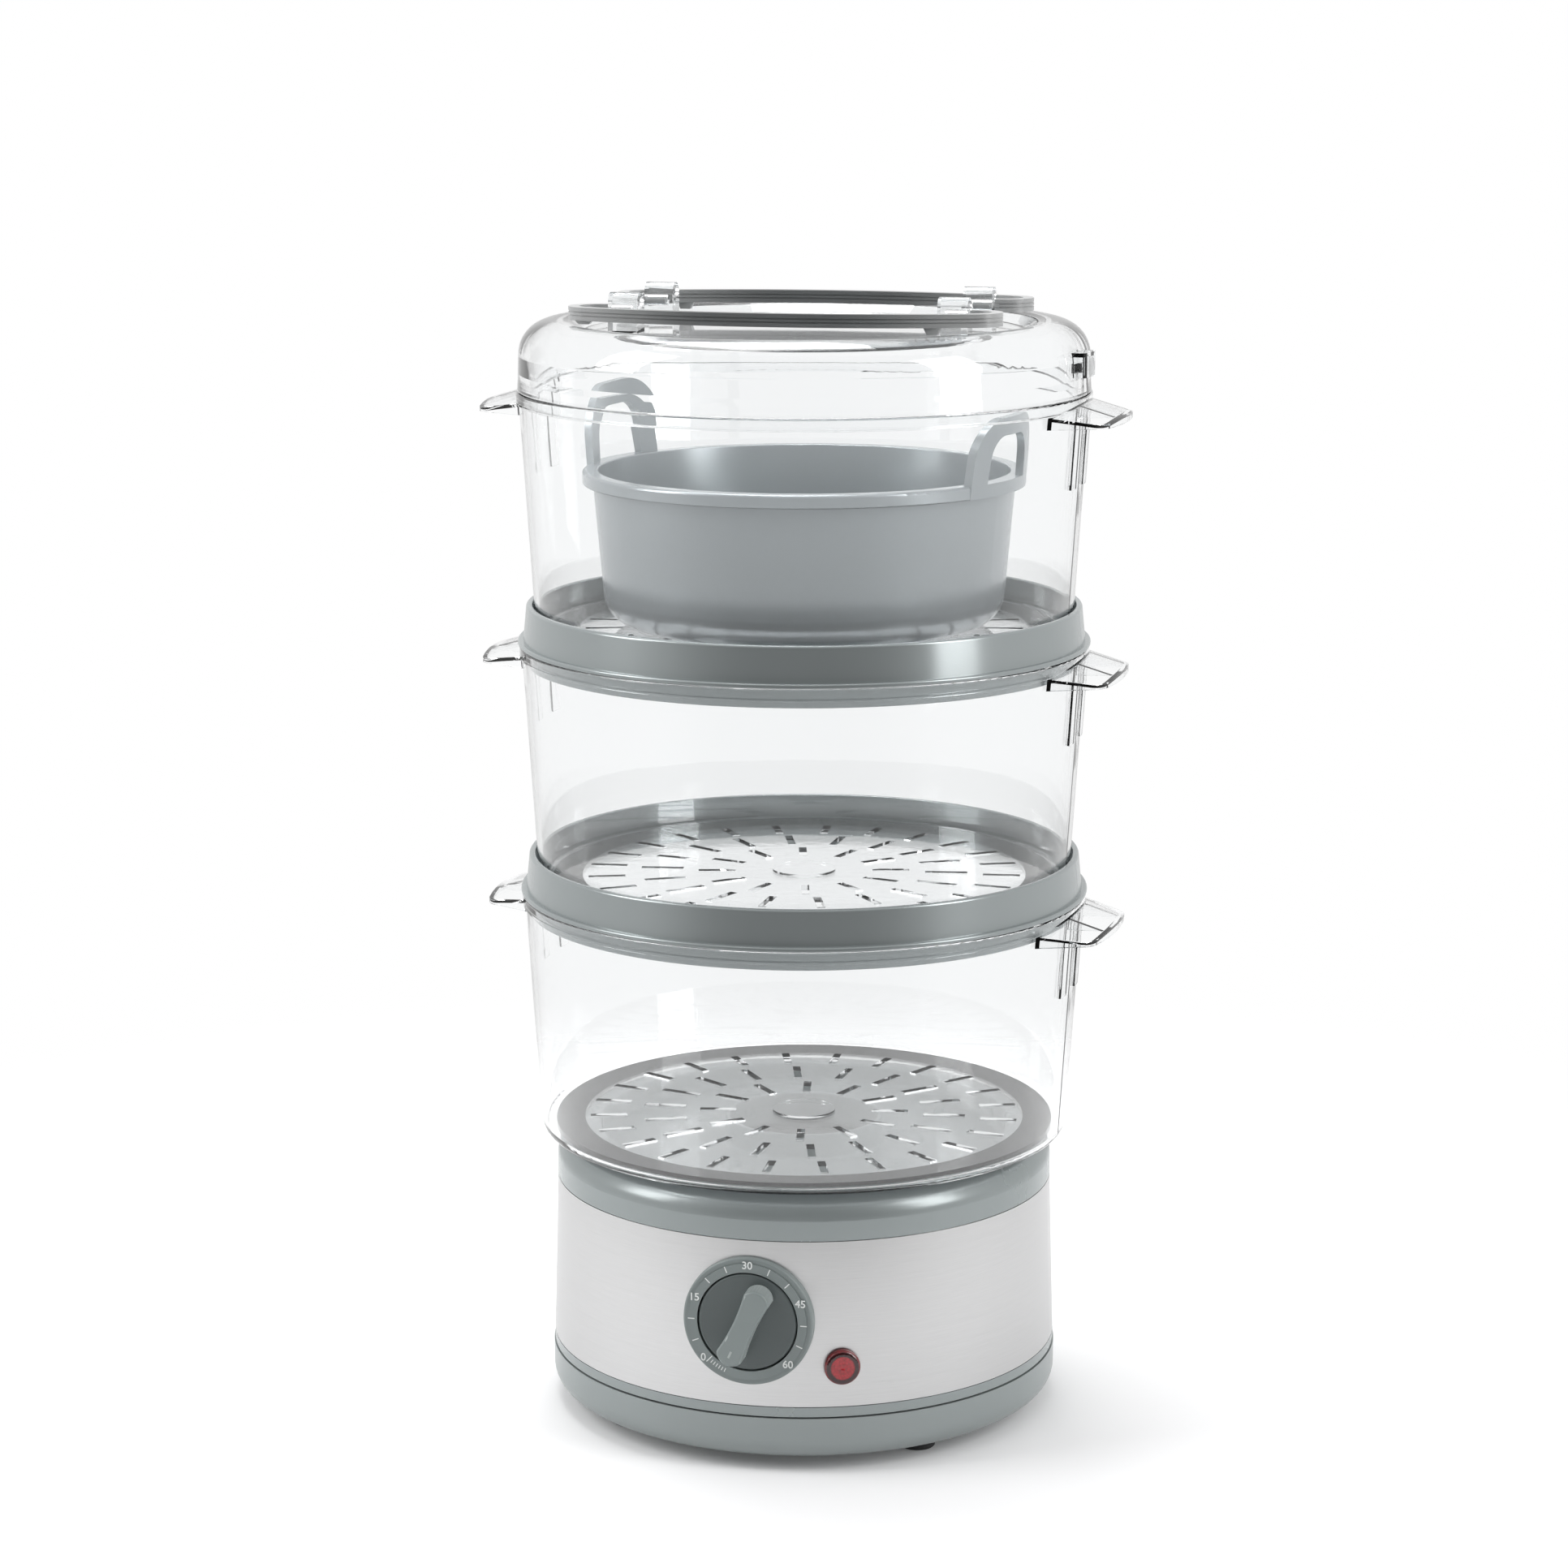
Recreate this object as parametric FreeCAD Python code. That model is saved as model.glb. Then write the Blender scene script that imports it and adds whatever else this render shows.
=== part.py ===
import FreeCAD, Part
import math
import os

# Electric food steamer: round base with heater and timer, three clear baskets, two collars,
# a rice bowl, a drip tray and a clear lid with two folding handles.
# Millimetres, Z up, origin on the table under the stack's axis, the dial faces -Y.

# Clearances
seat = 0.3              # between pieces that lift off each other
slip = 0.5              # round a piece that drops into another
running = 0.08          # round a shaft in its hole

# Base: feet, pan, trim, steel band and housing
foot_radius = 6.8
foot_height = 6.6
foot_circle = 78.0
foot_pocket = 1.4       # how deep a foot sits in the pan
pan_bottom = foot_height - foot_pocket
pan_radius = 96.8
pan_corner = 7.5
pan_top = 21.6
pan_wall = 2.4
screw_circle = 62.0
screw_radius = 1.5
outlet_height = 15.2    # centre of the mains lead's grommet, on the back
outlet_radius = 4.8
outlet_bore = 3.4
outlet_stand = 3.2      # how far the grommet stands out
seam = 0.6              # dark gap between pan and trim
band_bottom = 25.8
band_low_radius = 96.4
band_high_radius = 94.6
band_thick = 0.5
top_ring = 16.4         # height of the grey ring over the band
band_gap = 0.3          # dark line above and below the band
shoulder_radius = 9.0
deck_height = 105.0     # top of the housing's shoulder
deck_radius = 90.0
housing_wall = 2.6
tank_radius = 82.0
tank_depth = 43.0
tank_wall = 2.5

# Heater and its parts
heater_radius = 27.0
heater_thick = 7.0
heater_dome = 3.0
heater_hole = 20.0      # hole in the tank floor under the heater
seal_thick = 1.6
clamp_reach = 27.0
steam_ring_radius = 36.0
steam_ring_height = 30.0
steam_ring_wall = 1.8

# Dial, knob and lamp
dial_height = 58.2
dial_radius = 24.15
dial_hole = 18.8        # opening in the dial ring round the knob
dial_stand = 1.4        # how far the dial ring stands off the band
knob_radius = 18.3
knob_thick = 3.2
grip_length = 31.0
grip_end = 5.4          # radius of the grip's round ends
grip_waist = 4.0        # half width of the grip at its middle
grip_height = 8.6
grip_turn = 205.0       # pointer, clockwise from the top, at rest
timer_travel = 290.0
shaft_radius = 3.0
timer_neck = 7.0
timer_size = 34.0
timer_depth = 24.0
bay_room = 9.5          # room behind the timer for its bell
lamp_radius = 6.7
lamp_wall = 2.8         # from the lens's edge to the room for the bulb
lamp_across = 20.5      # degrees round the base from the dial
lamp_height = 41.4

# Stack
basket_height = 92.0
tier_pitch = 94.5
basket_low_radius = 100.2
basket_high_radius = 105.9
basket_wall = 1.8
basket_corner = 4.0
rim_band_height = 4.6
rim_band = 0.8          # how far the rim band stands out
basket_turns = (-5.0, -2.0, -3.0)
ledge_radius = 84.0     # inner radius of the basket's bottom ledge
floor_thick = 2.0
floor_radius = 95.0
slot_width = 3.0
slot_rows = ((26.0, 40.0, 12), (46.0, 62.0, 18), (68.0, 82.0, 24))
hood_stand = 15.6       # how far the basket's hand ledge stands out from the wall
hood_reach = basket_high_radius + hood_stand
hood_drop = 9.0
hood_crown = 1.2        # top of the vault under the rim, at the wall
hood_fall = 4.5         # fall of the vault to its outer edge
hood_vault = 126.0      # radius of the vault across the ledge
hood_corner = 9.0
hood_half = 38.5        # half width where it meets the wall
hood_tip_half = 27.0    # half width at the outer edge
hood_wall = 2.0
rib_angles = (-5.6, 5.6)
rib_width = 6.6
rib_stand = 0.9
rib_length = 33.0
gusset_half = 12.0
gusset_thick = 1.6

collar_height = 15.0
collar_skirt = 7.1
collar_bead = 1.6
collar_bead_stand = 1.3  # against the basket's rim radius
collar_low_inset = 0.7
collar_high_inset = 2.0
collar_wall = 2.0
collar_ledge = 8.0      # the collar's ledge stops this far outside the basket's

# Drip tray
tray_radius = 86.0
tray_height = 9.0
tray_flange = 1.4
tray_wall = 1.6
tray_chimney = 30.0
tray_chimney_height = 12.0

# Rice bowl
bowl_rim_radius = 82.5
bowl_drop = 29.3        # from the basket's rim down to the bowl's
bowl_rim_band = 5.0
bowl_wall_radius = 78.6
bowl_base_radius = 74.0
bowl_wall = 1.8
bowl_corner = 12.0
bowl_turn = -14.5
loop_rise = 22.8
loop_half = 25.0
loop_leg = 9.0
loop_thick = 3.0

# Lid
lid_shoulder = 12.5
lid_height = 25.9       # from the basket's rim to the top of the lid's shoulder
lid_wall = 2.0
lid_recess_radius = 86.0
lid_recess_slope = 5.0
lid_recess_depth = 3.9
lid_skirt = 4.6
lug_x = 61.0
lug_y = 26.5
lug_width = 11.0
lug_length = 11.0
lug_rise = 6.8          # knuckle above its pin
hinge_rise = 29.8       # pin above the basket's rim
pin_radius = 2.0
bar_mid = 56.5          # distance of the handle's middle from the lid's centre line
bar_end_x = 72.0
bar_end_y = 44.0
bar_width = 4.0
bar_height = 4.8
bar_groove = 0.35
tab_places = ((-72.0, 1.2), (57.0, 2.5))  # across, and height under the bar
vent_turn = -8.0         # degrees from +X round the lid
vent_width = 15.0
vent_height = 9.0
vent_stand = 4.2        # how far the steam vent's hood stands off the wall
vent_slot = 3.4

tank_floor = deck_height - tank_depth
band_top = deck_height - top_ring
rim_1 = deck_height + seat + tray_flange + seat + basket_height
rim_2 = rim_1 + tier_pitch
rim_3 = rim_2 + tier_pitch
rims = (rim_1, rim_2, rim_3)
bowl_rim_top = rim_3 - bowl_drop
hinge_height = rim_3 + hinge_rise
lug_top = hinge_height + lug_rise
lid_radius = basket_high_radius
collar_inner = ledge_radius + collar_ledge


def vec(x=0.0, y=0.0, z=0.0):
    return FreeCAD.Vector(x, y, z)


UP = vec(0, 0, 1)
OUT = vec(0, -1, 0)


def rounded_wire(points):
    """Closed wire through (x, y) or (x, y, corner radius), in the XZ plane."""
    count = len(points)
    entries = []
    for i in range(count):
        before, here, after = points[i - 1], points[i], points[(i + 1) % count]
        p = vec(here[0], 0, here[1])
        a = vec(before[0], 0, before[1]).sub(p)
        b = vec(after[0], 0, after[1]).sub(p)
        a.normalize()
        b.normalize()
        radius = here[2] if len(here) > 2 else 0
        if not radius:
            entries.append((p, p, None))
            continue
        half = a.getAngle(b) / 2
        reach = radius / math.tan(half)
        middle = a.add(b)
        middle.normalize()
        middle = p.add(middle.multiply(radius / math.sin(half) - radius))
        entries.append((p.add(a.multiply(reach)), p.add(b.multiply(reach)), middle))
    edges = []
    for i in range(count):
        start, end, middle = entries[i]
        if middle:
            edges.append(Part.Arc(start, middle, end).toShape())
        follow = entries[(i + 1) % count][0]
        if end.distanceToPoint(follow) > 1e-6:
            edges.append(Part.LineSegment(end, follow).toShape())
    return Part.Wire(edges)


def turned(points):
    """Solid of revolution about Z from a closed (radius, height) profile."""
    return Part.Face(rounded_wire(points)).revolve(vec(), UP, 360)


def plate(points, bottom, height):
    """Flat plate from a closed (x, y) outline with optional corner radii."""
    face = Part.Face(rounded_wire(points))
    face.rotate(vec(), vec(1, 0, 0), 90)
    face = face.mirror(vec(), vec(0, 1, 0)) if face.BoundBox.Center.y * sum(
        p[1] for p in points) < 0 else face
    face.translate(vec(0, 0, bottom))
    return face.extrude(vec(0, 0, height))


def disc(radius, height, bottom, x=0.0, y=0.0):
    return Part.makeCylinder(radius, height, vec(x, y, bottom))


def rod(radius, length, start, direction):
    return Part.makeCylinder(radius, length, start, direction)


def block(x_size, y_size, z_size, x, y, z):
    """Box centred on x and y, standing on z."""
    return Part.makeBox(x_size, y_size, z_size, vec(x - x_size / 2, y - y_size / 2, z))


def spun(shape, degrees):
    copy = shape.copy()
    copy.rotate(vec(), UP, degrees)
    return copy


def ring_of(shape, count, first=0.0):
    return [spun(shape, first + 360.0 * i / count) for i in range(count)]


def lean(height):
    """Outer radius of the steel band at a height."""
    share = (height - band_bottom) / (band_top - band_bottom)
    return band_low_radius + share * (band_high_radius - band_low_radius)


def basket_radius(above_bottom):
    """Outer radius of a basket's wall above its bottom."""
    slope = (basket_high_radius - basket_low_radius) / basket_height
    return basket_low_radius + slope * above_bottom


band_face = lean(dial_height)
dial_back = band_face - 4.0
dial_front = band_face + dial_stand
lamp_face = lean(lamp_height)


def make_feet():
    foot = disc(foot_radius, foot_height - seat, 0)
    foot = foot.makeFillet(1.0, [foot.Edges[2]])
    peg = disc(foot_radius - 2.5, seat + 0.2, foot_height - seat - 0.2)
    foot = foot.fuse(peg).removeSplitter()
    foot.translate(vec(foot_circle, 0, 0))
    return Part.Compound(ring_of(foot, 4, 45))


def make_pan():
    inner = pan_radius - pan_wall
    floor = pan_bottom + pan_wall
    pan = turned([(0, pan_bottom), (pan_radius, pan_bottom, pan_corner), (pan_radius, pan_top),
                  (inner, pan_top), (inner, floor, pan_corner - pan_wall), (0, floor)])
    pocket = disc(foot_radius + 0.1, foot_pocket, pan_bottom, foot_circle)
    boss = disc(foot_radius + 2.5, 3.0, floor - 0.5, foot_circle)
    post = disc(4.5, pan_top - floor, floor - 0.5, screw_circle)
    hole = disc(screw_radius + 0.2, 30, 0, screw_circle)
    head = disc(3.6, 2.4, 0, screw_circle)
    head.translate(vec(0, 0, pan_bottom - 1.0))
    pan = pan.fuse(ring_of(boss, 4, 45) + ring_of(post, 3, 90))
    outlet = rod(outlet_radius, 30, vec(0, pan_radius - 20, outlet_height), vec(0, 1, 0))
    pan = pan.cut(ring_of(pocket, 4, 45) + ring_of(hole, 3, 90) + ring_of(head, 3, 90) + [outlet])
    return pan.removeSplitter()


def make_screws():
    head = disc(3.2, 1.8, pan_bottom - 0.6, screw_circle)
    shank = disc(screw_radius, pan_top - pan_bottom + 6.0, pan_bottom + 1.2, screw_circle)
    cross = block(3.6, 0.8, 0.8, screw_circle, 0, pan_bottom - 0.6)
    cross = cross.fuse(block(0.8, 3.6, 0.8, screw_circle, 0, pan_bottom - 0.6))
    screw = head.fuse(shank).cut(cross).removeSplitter()
    return Part.Compound(ring_of(screw, 3, 90))


def make_grommet():
    """Rubber bush in the pan's back wall, where the mains lead comes out."""
    start = pan_radius - pan_wall - 0.5
    front = pan_radius + 0.05
    body = rod(outlet_radius - 0.05, front + outlet_stand - start, vec(0, start, outlet_height),
               vec(0, 1, 0))
    flange = rod(outlet_radius + 1.2, outlet_stand - 1.0, vec(0, front, outlet_height),
                 vec(0, 1, 0))
    bore = rod(outlet_bore, 40, vec(0, start - 5, outlet_height), vec(0, 1, 0))
    return body.fuse(flange).cut(bore).removeSplitter()


def make_housing():
    """Grey outer wall, shoulder and water tank in one moulding."""
    trim_bottom = pan_top + seam
    inner = band_high_radius - band_thick - housing_wall
    profile = [(band_low_radius, trim_bottom), (band_low_radius, band_bottom),
               (band_low_radius - band_thick, band_bottom),
               (band_high_radius - band_thick, band_top), (band_high_radius, band_top),
               (band_high_radius, deck_height, shoulder_radius),
               (tank_radius, deck_height, 2.0),
               (tank_radius, tank_floor, 8.0), (heater_hole, tank_floor),
               (heater_hole, tank_floor - tank_wall),
               (tank_radius + tank_wall, tank_floor - tank_wall, 9.0),
               (tank_radius + tank_wall, deck_height - tank_wall - 1.0),
               (inner, deck_height - tank_wall - 4.0),
               (inner, trim_bottom)]
    housing = turned(profile)
    rim = turned([(inner, trim_bottom - 2.5), (inner + 1.6, trim_bottom - 2.5),
                  (inner + 1.6, trim_bottom + 2.0), (inner, trim_bottom + 2.0)])
    post = disc(4.5, 24.0, pan_top + 0.3, screw_circle)
    link = block(30.0, 2.0, 16.0, screw_circle + 14.5, 0, pan_top + 4.0)
    post = post.fuse(link)
    blind = disc(screw_radius + running, 9.0, pan_top - 0.5, screw_circle)
    housing = housing.fuse([rim] + ring_of(post, 3, 90))
    under = heater_under()
    bosses = [disc(3.5, tank_floor - tank_wall - under + 0.5, under, s * clamp_reach)
              for s in (-1, 1)]
    housing = housing.fuse(bosses + [bay_form(tank_wall).common(
        disc(tank_radius + tank_wall - 0.5, 200, 0))]).cut(
        bay_form(0).common(disc(inner - 0.5, 200, 0)))
    timer_hole = rod(timer_neck + 0.2, 30, vec(0, -band_face + 12, dial_height), OUT)
    lamp_hole = rod(lamp_radius - 1.4, 30, vec(0, -lamp_face + 12, lamp_height), OUT)
    pocket = rod(dial_radius - 2.0, 10, vec(0, -dial_back, dial_height), OUT)
    cuts = [timer_hole, pocket, spun(lamp_hole, lamp_across)] + ring_of(blind, 3, 90)
    return housing.cut(cuts).removeSplitter()


def bay_form(grow):
    """Block of the timer's bay, which the tank wall steps round."""
    back = timer_back() - bay_room - grow
    front = band_face
    top = dial_height + timer_size / 2 + 1.5 + grow
    bottom = tank_floor - tank_wall - (0 if grow else 1.0)
    return block(timer_size + 6.0 + 2 * grow, front - back, top - bottom,
                 0, -(front + back) / 2, bottom)


def timer_back():
    return band_face - 6.6 - timer_depth


def make_band():
    low, high = band_bottom + band_gap, band_top - band_gap
    band = turned([(lean(low) - band_thick, low), (lean(low), low),
                   (lean(high), high), (lean(high) - band_thick, high)])
    dial_cut = rod(dial_radius - 1.8, 30, vec(0, -band_face + 12, dial_height), OUT)
    lamp_cut = rod(lamp_radius - 1.2, 30, vec(0, -lamp_face + 12, lamp_height), OUT)
    return band.cut([dial_cut, spun(lamp_cut, lamp_across)])


def make_dial_ring():
    """Ring with the printed time scale: a flat face on a skirt that follows the band."""
    ring = rod(dial_radius, dial_stand + 4.0, vec(0, -band_face + 4.0, dial_height), OUT)
    edge = ring.Edges[0] if ring.Edges[0].CenterOfMass.y < ring.Edges[2].CenterOfMass.y \
        else ring.Edges[2]
    ring = ring.makeFillet(0.8, [edge])
    hole = rod(dial_hole, 20, vec(0, -dial_back + 8, dial_height), OUT)
    behind = Part.makeCone(band_low_radius + 0.02, band_high_radius + 0.02,
                           band_top - band_bottom, vec(0, 0, band_bottom))
    collar = rod(dial_radius - 2.1, 6, vec(0, -dial_back, dial_height), OUT)
    floor = rod(dial_radius - 2.1, 1.2, vec(0, -dial_back, dial_height), OUT)
    bush = rod(timer_neck, 1.2, vec(0, -dial_back, dial_height), OUT)
    collar = collar.cut(hole).fuse(floor.cut(bush))
    return ring.cut([behind, hole]).fuse(collar).removeSplitter()


def knob_place(shape):
    """Stands a shape made upright on the table in front of the dial, its top facing out."""
    shape.rotate(vec(), vec(1, 0, 0), 90)
    shape.translate(vec(0, -knob_back(), dial_height))
    return shape


def knob_back():
    return dial_back + 1.6


def knob_front():
    return dial_front + 0.6


def make_knob():
    disc_height = knob_front() - knob_back()
    knob = disc(knob_radius, disc_height, 0)
    top = [e for e in knob.Edges if abs(e.CenterOfMass.z - disc_height) < 1e-6]
    knob = knob.makeFillet(1.0, top)
    socket = disc(shaft_radius + 0.02, disc_height - 1.2, 0)
    return knob_place(knob.cut(socket))


def make_grip():
    """Bone-shaped grip with round ends and a waist, standing on the knob's face."""
    tip = grip_length / 2
    reach = tip - grip_end * 0.62
    swell = grip_end * 0.925
    base = knob_front() - knob_back()
    corners = [vec(-swell, -reach), vec(-swell, reach), vec(swell, reach), vec(swell, -reach)]
    through = [vec(-grip_waist, 0), vec(0, tip), vec(grip_waist, 0), vec(0, -tip)]
    arcs = [Part.Arc(corners[i], through[i], corners[(i + 1) % 4]).toShape() for i in range(4)]
    grip = Part.Face(Part.Wire(arcs)).extrude(vec(0, 0, grip_height))
    grip.translate(vec(0, 0, base))
    top = [e for e in grip.Edges if e.BoundBox.ZMin > base + grip_height - 1e-3]
    grip = grip.makeFillet(1.0, top)
    grip.rotate(vec(), UP, -grip_turn)
    return knob_place(grip)


def make_timer():
    """Clockwork timer behind the dial, with its neck in the dial ring."""
    back = timer_back()
    body = block(timer_size, timer_depth, timer_size, 0, -(back + timer_depth / 2),
                 dial_height - timer_size / 2)
    upright = [e for e in body.Edges if e.BoundBox.YLength > timer_depth - 1.0]
    body = body.makeFillet(3.0, upright)
    neck = rod(timer_neck - 0.3, dial_back + 1.0 - back - 10, vec(0, -back - 10, dial_height), OUT)
    bore = rod(shaft_radius + running, 60, vec(0, -back - 4, dial_height), OUT)
    return body.fuse(neck).cut(bore).removeSplitter()


def make_shaft():
    back = timer_back() + 8.0
    shaft = rod(shaft_radius, knob_front() - 1.4 - back, vec(0, -back, dial_height), OUT)
    return shaft


def make_bell():
    """Small bell on the back of the timer."""
    back = timer_back()
    bell = turned([(0, 0), (3, 0), (3, 4), (14, 1.5, 2.0), (14, 8), (13, 8), (13, 3, 2.0), (0, 5.4)])
    bell.rotate(vec(), vec(1, 0, 0), -90)
    bell.translate(vec(0, -back, dial_height - 2.0))
    return bell


def make_lens():
    """Red lamp lens: a low dome with a stem through the housing."""
    dome = turned([(0, -6.0), (lamp_radius - 1.6, -6.0), (lamp_radius - 1.6, 0.25),
                   (lamp_radius, 0.25), (lamp_radius, 2.6, 1.6), (0, 3.0)])
    hollow = turned([(0, -7.0), (lamp_radius - lamp_wall, -7.0), (lamp_radius - lamp_wall, 0.6, 0.5),
                     (0, 0.6)])
    lens = dome.cut(hollow)
    lens.rotate(vec(), vec(1, 0, 0), 90)
    lens.translate(vec(0, -lamp_face, lamp_height))
    return spun(lens, lamp_across)


def make_neon():
    """Neon bulb inside the lens."""
    bulb_radius = lamp_radius - lamp_wall - seat
    nose = bulb_radius - 0.6 + seat
    bulb = rod(bulb_radius, 9.0, vec(0, -lamp_face + nose + 9.0, lamp_height), OUT)
    tip = Part.makeSphere(bulb_radius, vec(0, -lamp_face + nose, lamp_height))
    return spun(bulb.fuse(tip).removeSplitter(), lamp_across)


def make_heater():
    """Cast heater plate that closes the tank floor, with its ring element below."""
    bottom = tank_floor + seal_thick
    plate_ = turned([(0, bottom), (heater_radius, bottom, 0.8),
                     (heater_radius, bottom + 2.4, 1.0), (heater_hole - 4, bottom + 4.0, 1.0),
                     (heater_hole - 6, bottom + heater_thick, 1.5),
                     (0, bottom + heater_thick + heater_dome)])
    core = disc(heater_hole - 0.4, 6.0, bottom - 6.0)
    element = Part.makeTorus(13.0, 3.4, vec(0, 0, bottom - 7.0))
    return plate_.fuse([core, element]).removeSplitter()


def make_seal():
    return turned([(heater_hole + 0.3, tank_floor), (heater_radius, tank_floor),
                   (heater_radius, tank_floor + seal_thick),
                   (heater_hole + 0.3, tank_floor + seal_thick)])


def heater_under():
    return tank_floor + seal_thick - 10.4


def make_clamp():
    """Steel bridge that holds the heater from below."""
    under = heater_under()
    bridge = block(2 * clamp_reach + 10.0, 14.0, 1.5, 0, 0, under - 1.5)
    return bridge.cut([disc(2.0, 10, under - 5, s * clamp_reach) for s in (-1, 1)])


def make_thermostat():
    under = heater_under() - 1.5
    cup = disc(8.0, 6.0, under - 6.0)
    base = disc(6.0, 4.0, under - 10.0)
    tabs = [block(1.0, 5.0, 6.0, s * 3.5, 0, under - 16.0) for s in (-1, 1)]
    return cup.fuse([base] + tabs).removeSplitter()


def make_fuse():
    """Thermal fuse lying on the clamp."""
    under = heater_under() - 1.5
    return rod(2.2, 16.0, vec(14.0, -8.0, under - 2.2), vec(0, 1, 0))


def make_steam_ring():
    """Ring round the heater that holds a small pool, with water gaps at its foot."""
    low = tank_floor + 0.0
    high = low + steam_ring_height
    ring = turned([(steam_ring_radius, low), (steam_ring_radius + steam_ring_wall, low),
                   (steam_ring_radius - 5.0 + steam_ring_wall, high),
                   (steam_ring_radius - 5.0, high)])
    gap = block(8.0, 10.0, 3.0, steam_ring_radius, 0, low - 0.01)
    return ring.cut(ring_of(gap, 4, 45))


def make_tray():
    """Drip tray: shallow dish on the tank's lip with a steam chimney in the middle."""
    rest = deck_height + seat
    top = rest + tray_flange
    low = rest - tray_height
    side = tank_radius - 2.5
    return turned([(tray_chimney - tray_wall, low + tray_chimney_height, 0.6),
                   (tray_chimney, low + tray_chimney_height, 0.6),
                   (tray_chimney, low + tray_wall, 1.5), (side - tray_wall, low + tray_wall, 3.0),
                   (side - tray_wall, top, 1.0), (tray_radius, top, 0.5), (tray_radius, rest),
                   (side, rest), (side, low, 3.0), (tray_chimney - tray_wall, low, 1.0)])


def slotted(disc_shape, bottom, height):
    slots = []
    for inner, outer, count in slot_rows:
        slot = block(outer - inner, slot_width, height + 2, (inner + outer) / 2, 0, bottom - 1)
        slots += ring_of(slot, count, 180.0 / count)
    return disc_shape.cut(slots)


def hood_outline(shrink):
    """Plan of the hand ledge: flanks from the wall and a round outer edge."""
    reach = hood_reach - shrink
    half = hood_half - shrink
    tip = hood_tip_half - shrink
    tip_x = math.sqrt(reach ** 2 - tip ** 2)
    root = basket_high_radius - 16.0
    wall = root + 3.0
    face_edges = [Part.LineSegment(vec(root, half, 0), vec(wall, half, 0)).toShape(),
                  Part.LineSegment(vec(wall, half, 0), vec(tip_x, tip, 0)).toShape(),
                  Part.Arc(vec(tip_x, tip, 0), vec(reach, 0, 0), vec(tip_x, -tip, 0)).toShape(),
                  Part.LineSegment(vec(tip_x, -tip, 0), vec(wall, -half, 0)).toShape(),
                  Part.LineSegment(vec(wall, -half, 0), vec(root, -half, 0)).toShape(),
                  Part.LineSegment(vec(root, -half, 0), vec(root, half, 0)).toShape()]
    return Part.Face(Part.Wire(face_edges))


def hood_form(rim, shrink, low):
    """Block on the ledge's outline under a vault that falls away from the wall."""
    form = hood_outline(shrink)
    form.translate(vec(0, 0, low))
    form = form.extrude(vec(0, 0, rim - low))
    upright = [e for e in form.Edges if e.BoundBox.XMin > basket_high_radius + 4.0
               and e.BoundBox.XLength < 1e-4 and e.BoundBox.YLength < 1e-4]
    form = form.makeFillet(hood_corner - shrink, upright)
    tilt = math.atan2(hood_fall, hood_reach - basket_high_radius)
    radius = hood_vault - shrink
    along = vec(math.cos(tilt), 0, -math.sin(tilt))
    crown = vec(basket_high_radius, 0, rim - hood_crown - shrink)
    centre = crown.sub(vec(math.sin(tilt), 0, math.cos(tilt)).multiply(radius))
    start = centre.sub(vec(along.x, 0, along.z).multiply(hood_reach))
    return form.common(rod(radius, 3 * hood_reach, start, along))


def make_hood(rim):
    """Hand ledge of a basket: a thin domed shell with two gussets, open below."""
    low = rim - hood_drop
    shell = hood_form(rim, 0.0, low).cut(hood_form(rim, hood_wall, low - 4.0))
    gussets = []
    for side in (-1, 1):
        web = block(40.0, gusset_thick, 40.0, basket_high_radius, side * gusset_half, rim - 40.0)
        inside = hood_form(rim, hood_wall - 0.4, low + 1.5)
        gussets.append(web.common(inside))
    return shell.fuse(gussets)


def wall_ribs(rim):
    """Flat vertical ribs on the basket's wall under the hand ledge."""
    bottom = rim - basket_height
    ribs = []
    for angle in rib_angles:
        low, high = basket_height - rib_length - 5.0, basket_height - 2.0
        root = basket_low_radius - 4.0
        outer = turned([(root, bottom + low), (basket_radius(low) + rib_stand, bottom + low),
                        (basket_radius(high) + rib_stand, bottom + high), (root, bottom + high)])
        band = block(30.0, rib_width, rib_length, basket_high_radius, 0, rim - rib_length)
        band = spun(band, angle)
        ribs.append(outer.common(band))
    return ribs


def make_basket(rim, turn):
    bottom = rim - basket_height
    wall = basket_wall
    band_low = basket_height - rim_band_height
    profile = [(ledge_radius, bottom), (basket_radius(0), bottom, basket_corner),
               (basket_radius(band_low), rim - rim_band_height),
               (basket_high_radius + rim_band, rim - rim_band_height, 0.4),
               (basket_high_radius + rim_band, rim, 0.6),
               (basket_high_radius - wall, rim, 0.6),
               (basket_radius(floor_thick) - wall, bottom + floor_thick, basket_corner - wall),
               (ledge_radius, bottom + floor_thick)]
    wall_solid = turned(profile)
    inside = turned([(0, bottom + floor_thick), (basket_radius(floor_thick) - wall, bottom + floor_thick),
                     (basket_high_radius - wall, rim), (0, rim)])
    extras = [make_hood(rim)] + wall_ribs(rim)
    extras += [spun(e, 180) for e in extras]
    basket = wall_solid.fuse([e.cut(inside) for e in extras]).removeSplitter()
    return spun(basket, turn)


def make_floor(rim, turn):
    """Perforated floor plate that drops onto the basket's bottom ledge."""
    low = rim - basket_height + floor_thick
    hub = 12.0
    plate_ = turned([(0, low), (floor_radius, low), (floor_radius, low + floor_thick),
                     (hub, low + floor_thick), (hub, low + floor_thick + 0.8), (0, low + floor_thick + 0.8)])
    return spun(slotted(plate_, low, floor_thick + 1.0), turn)


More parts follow.
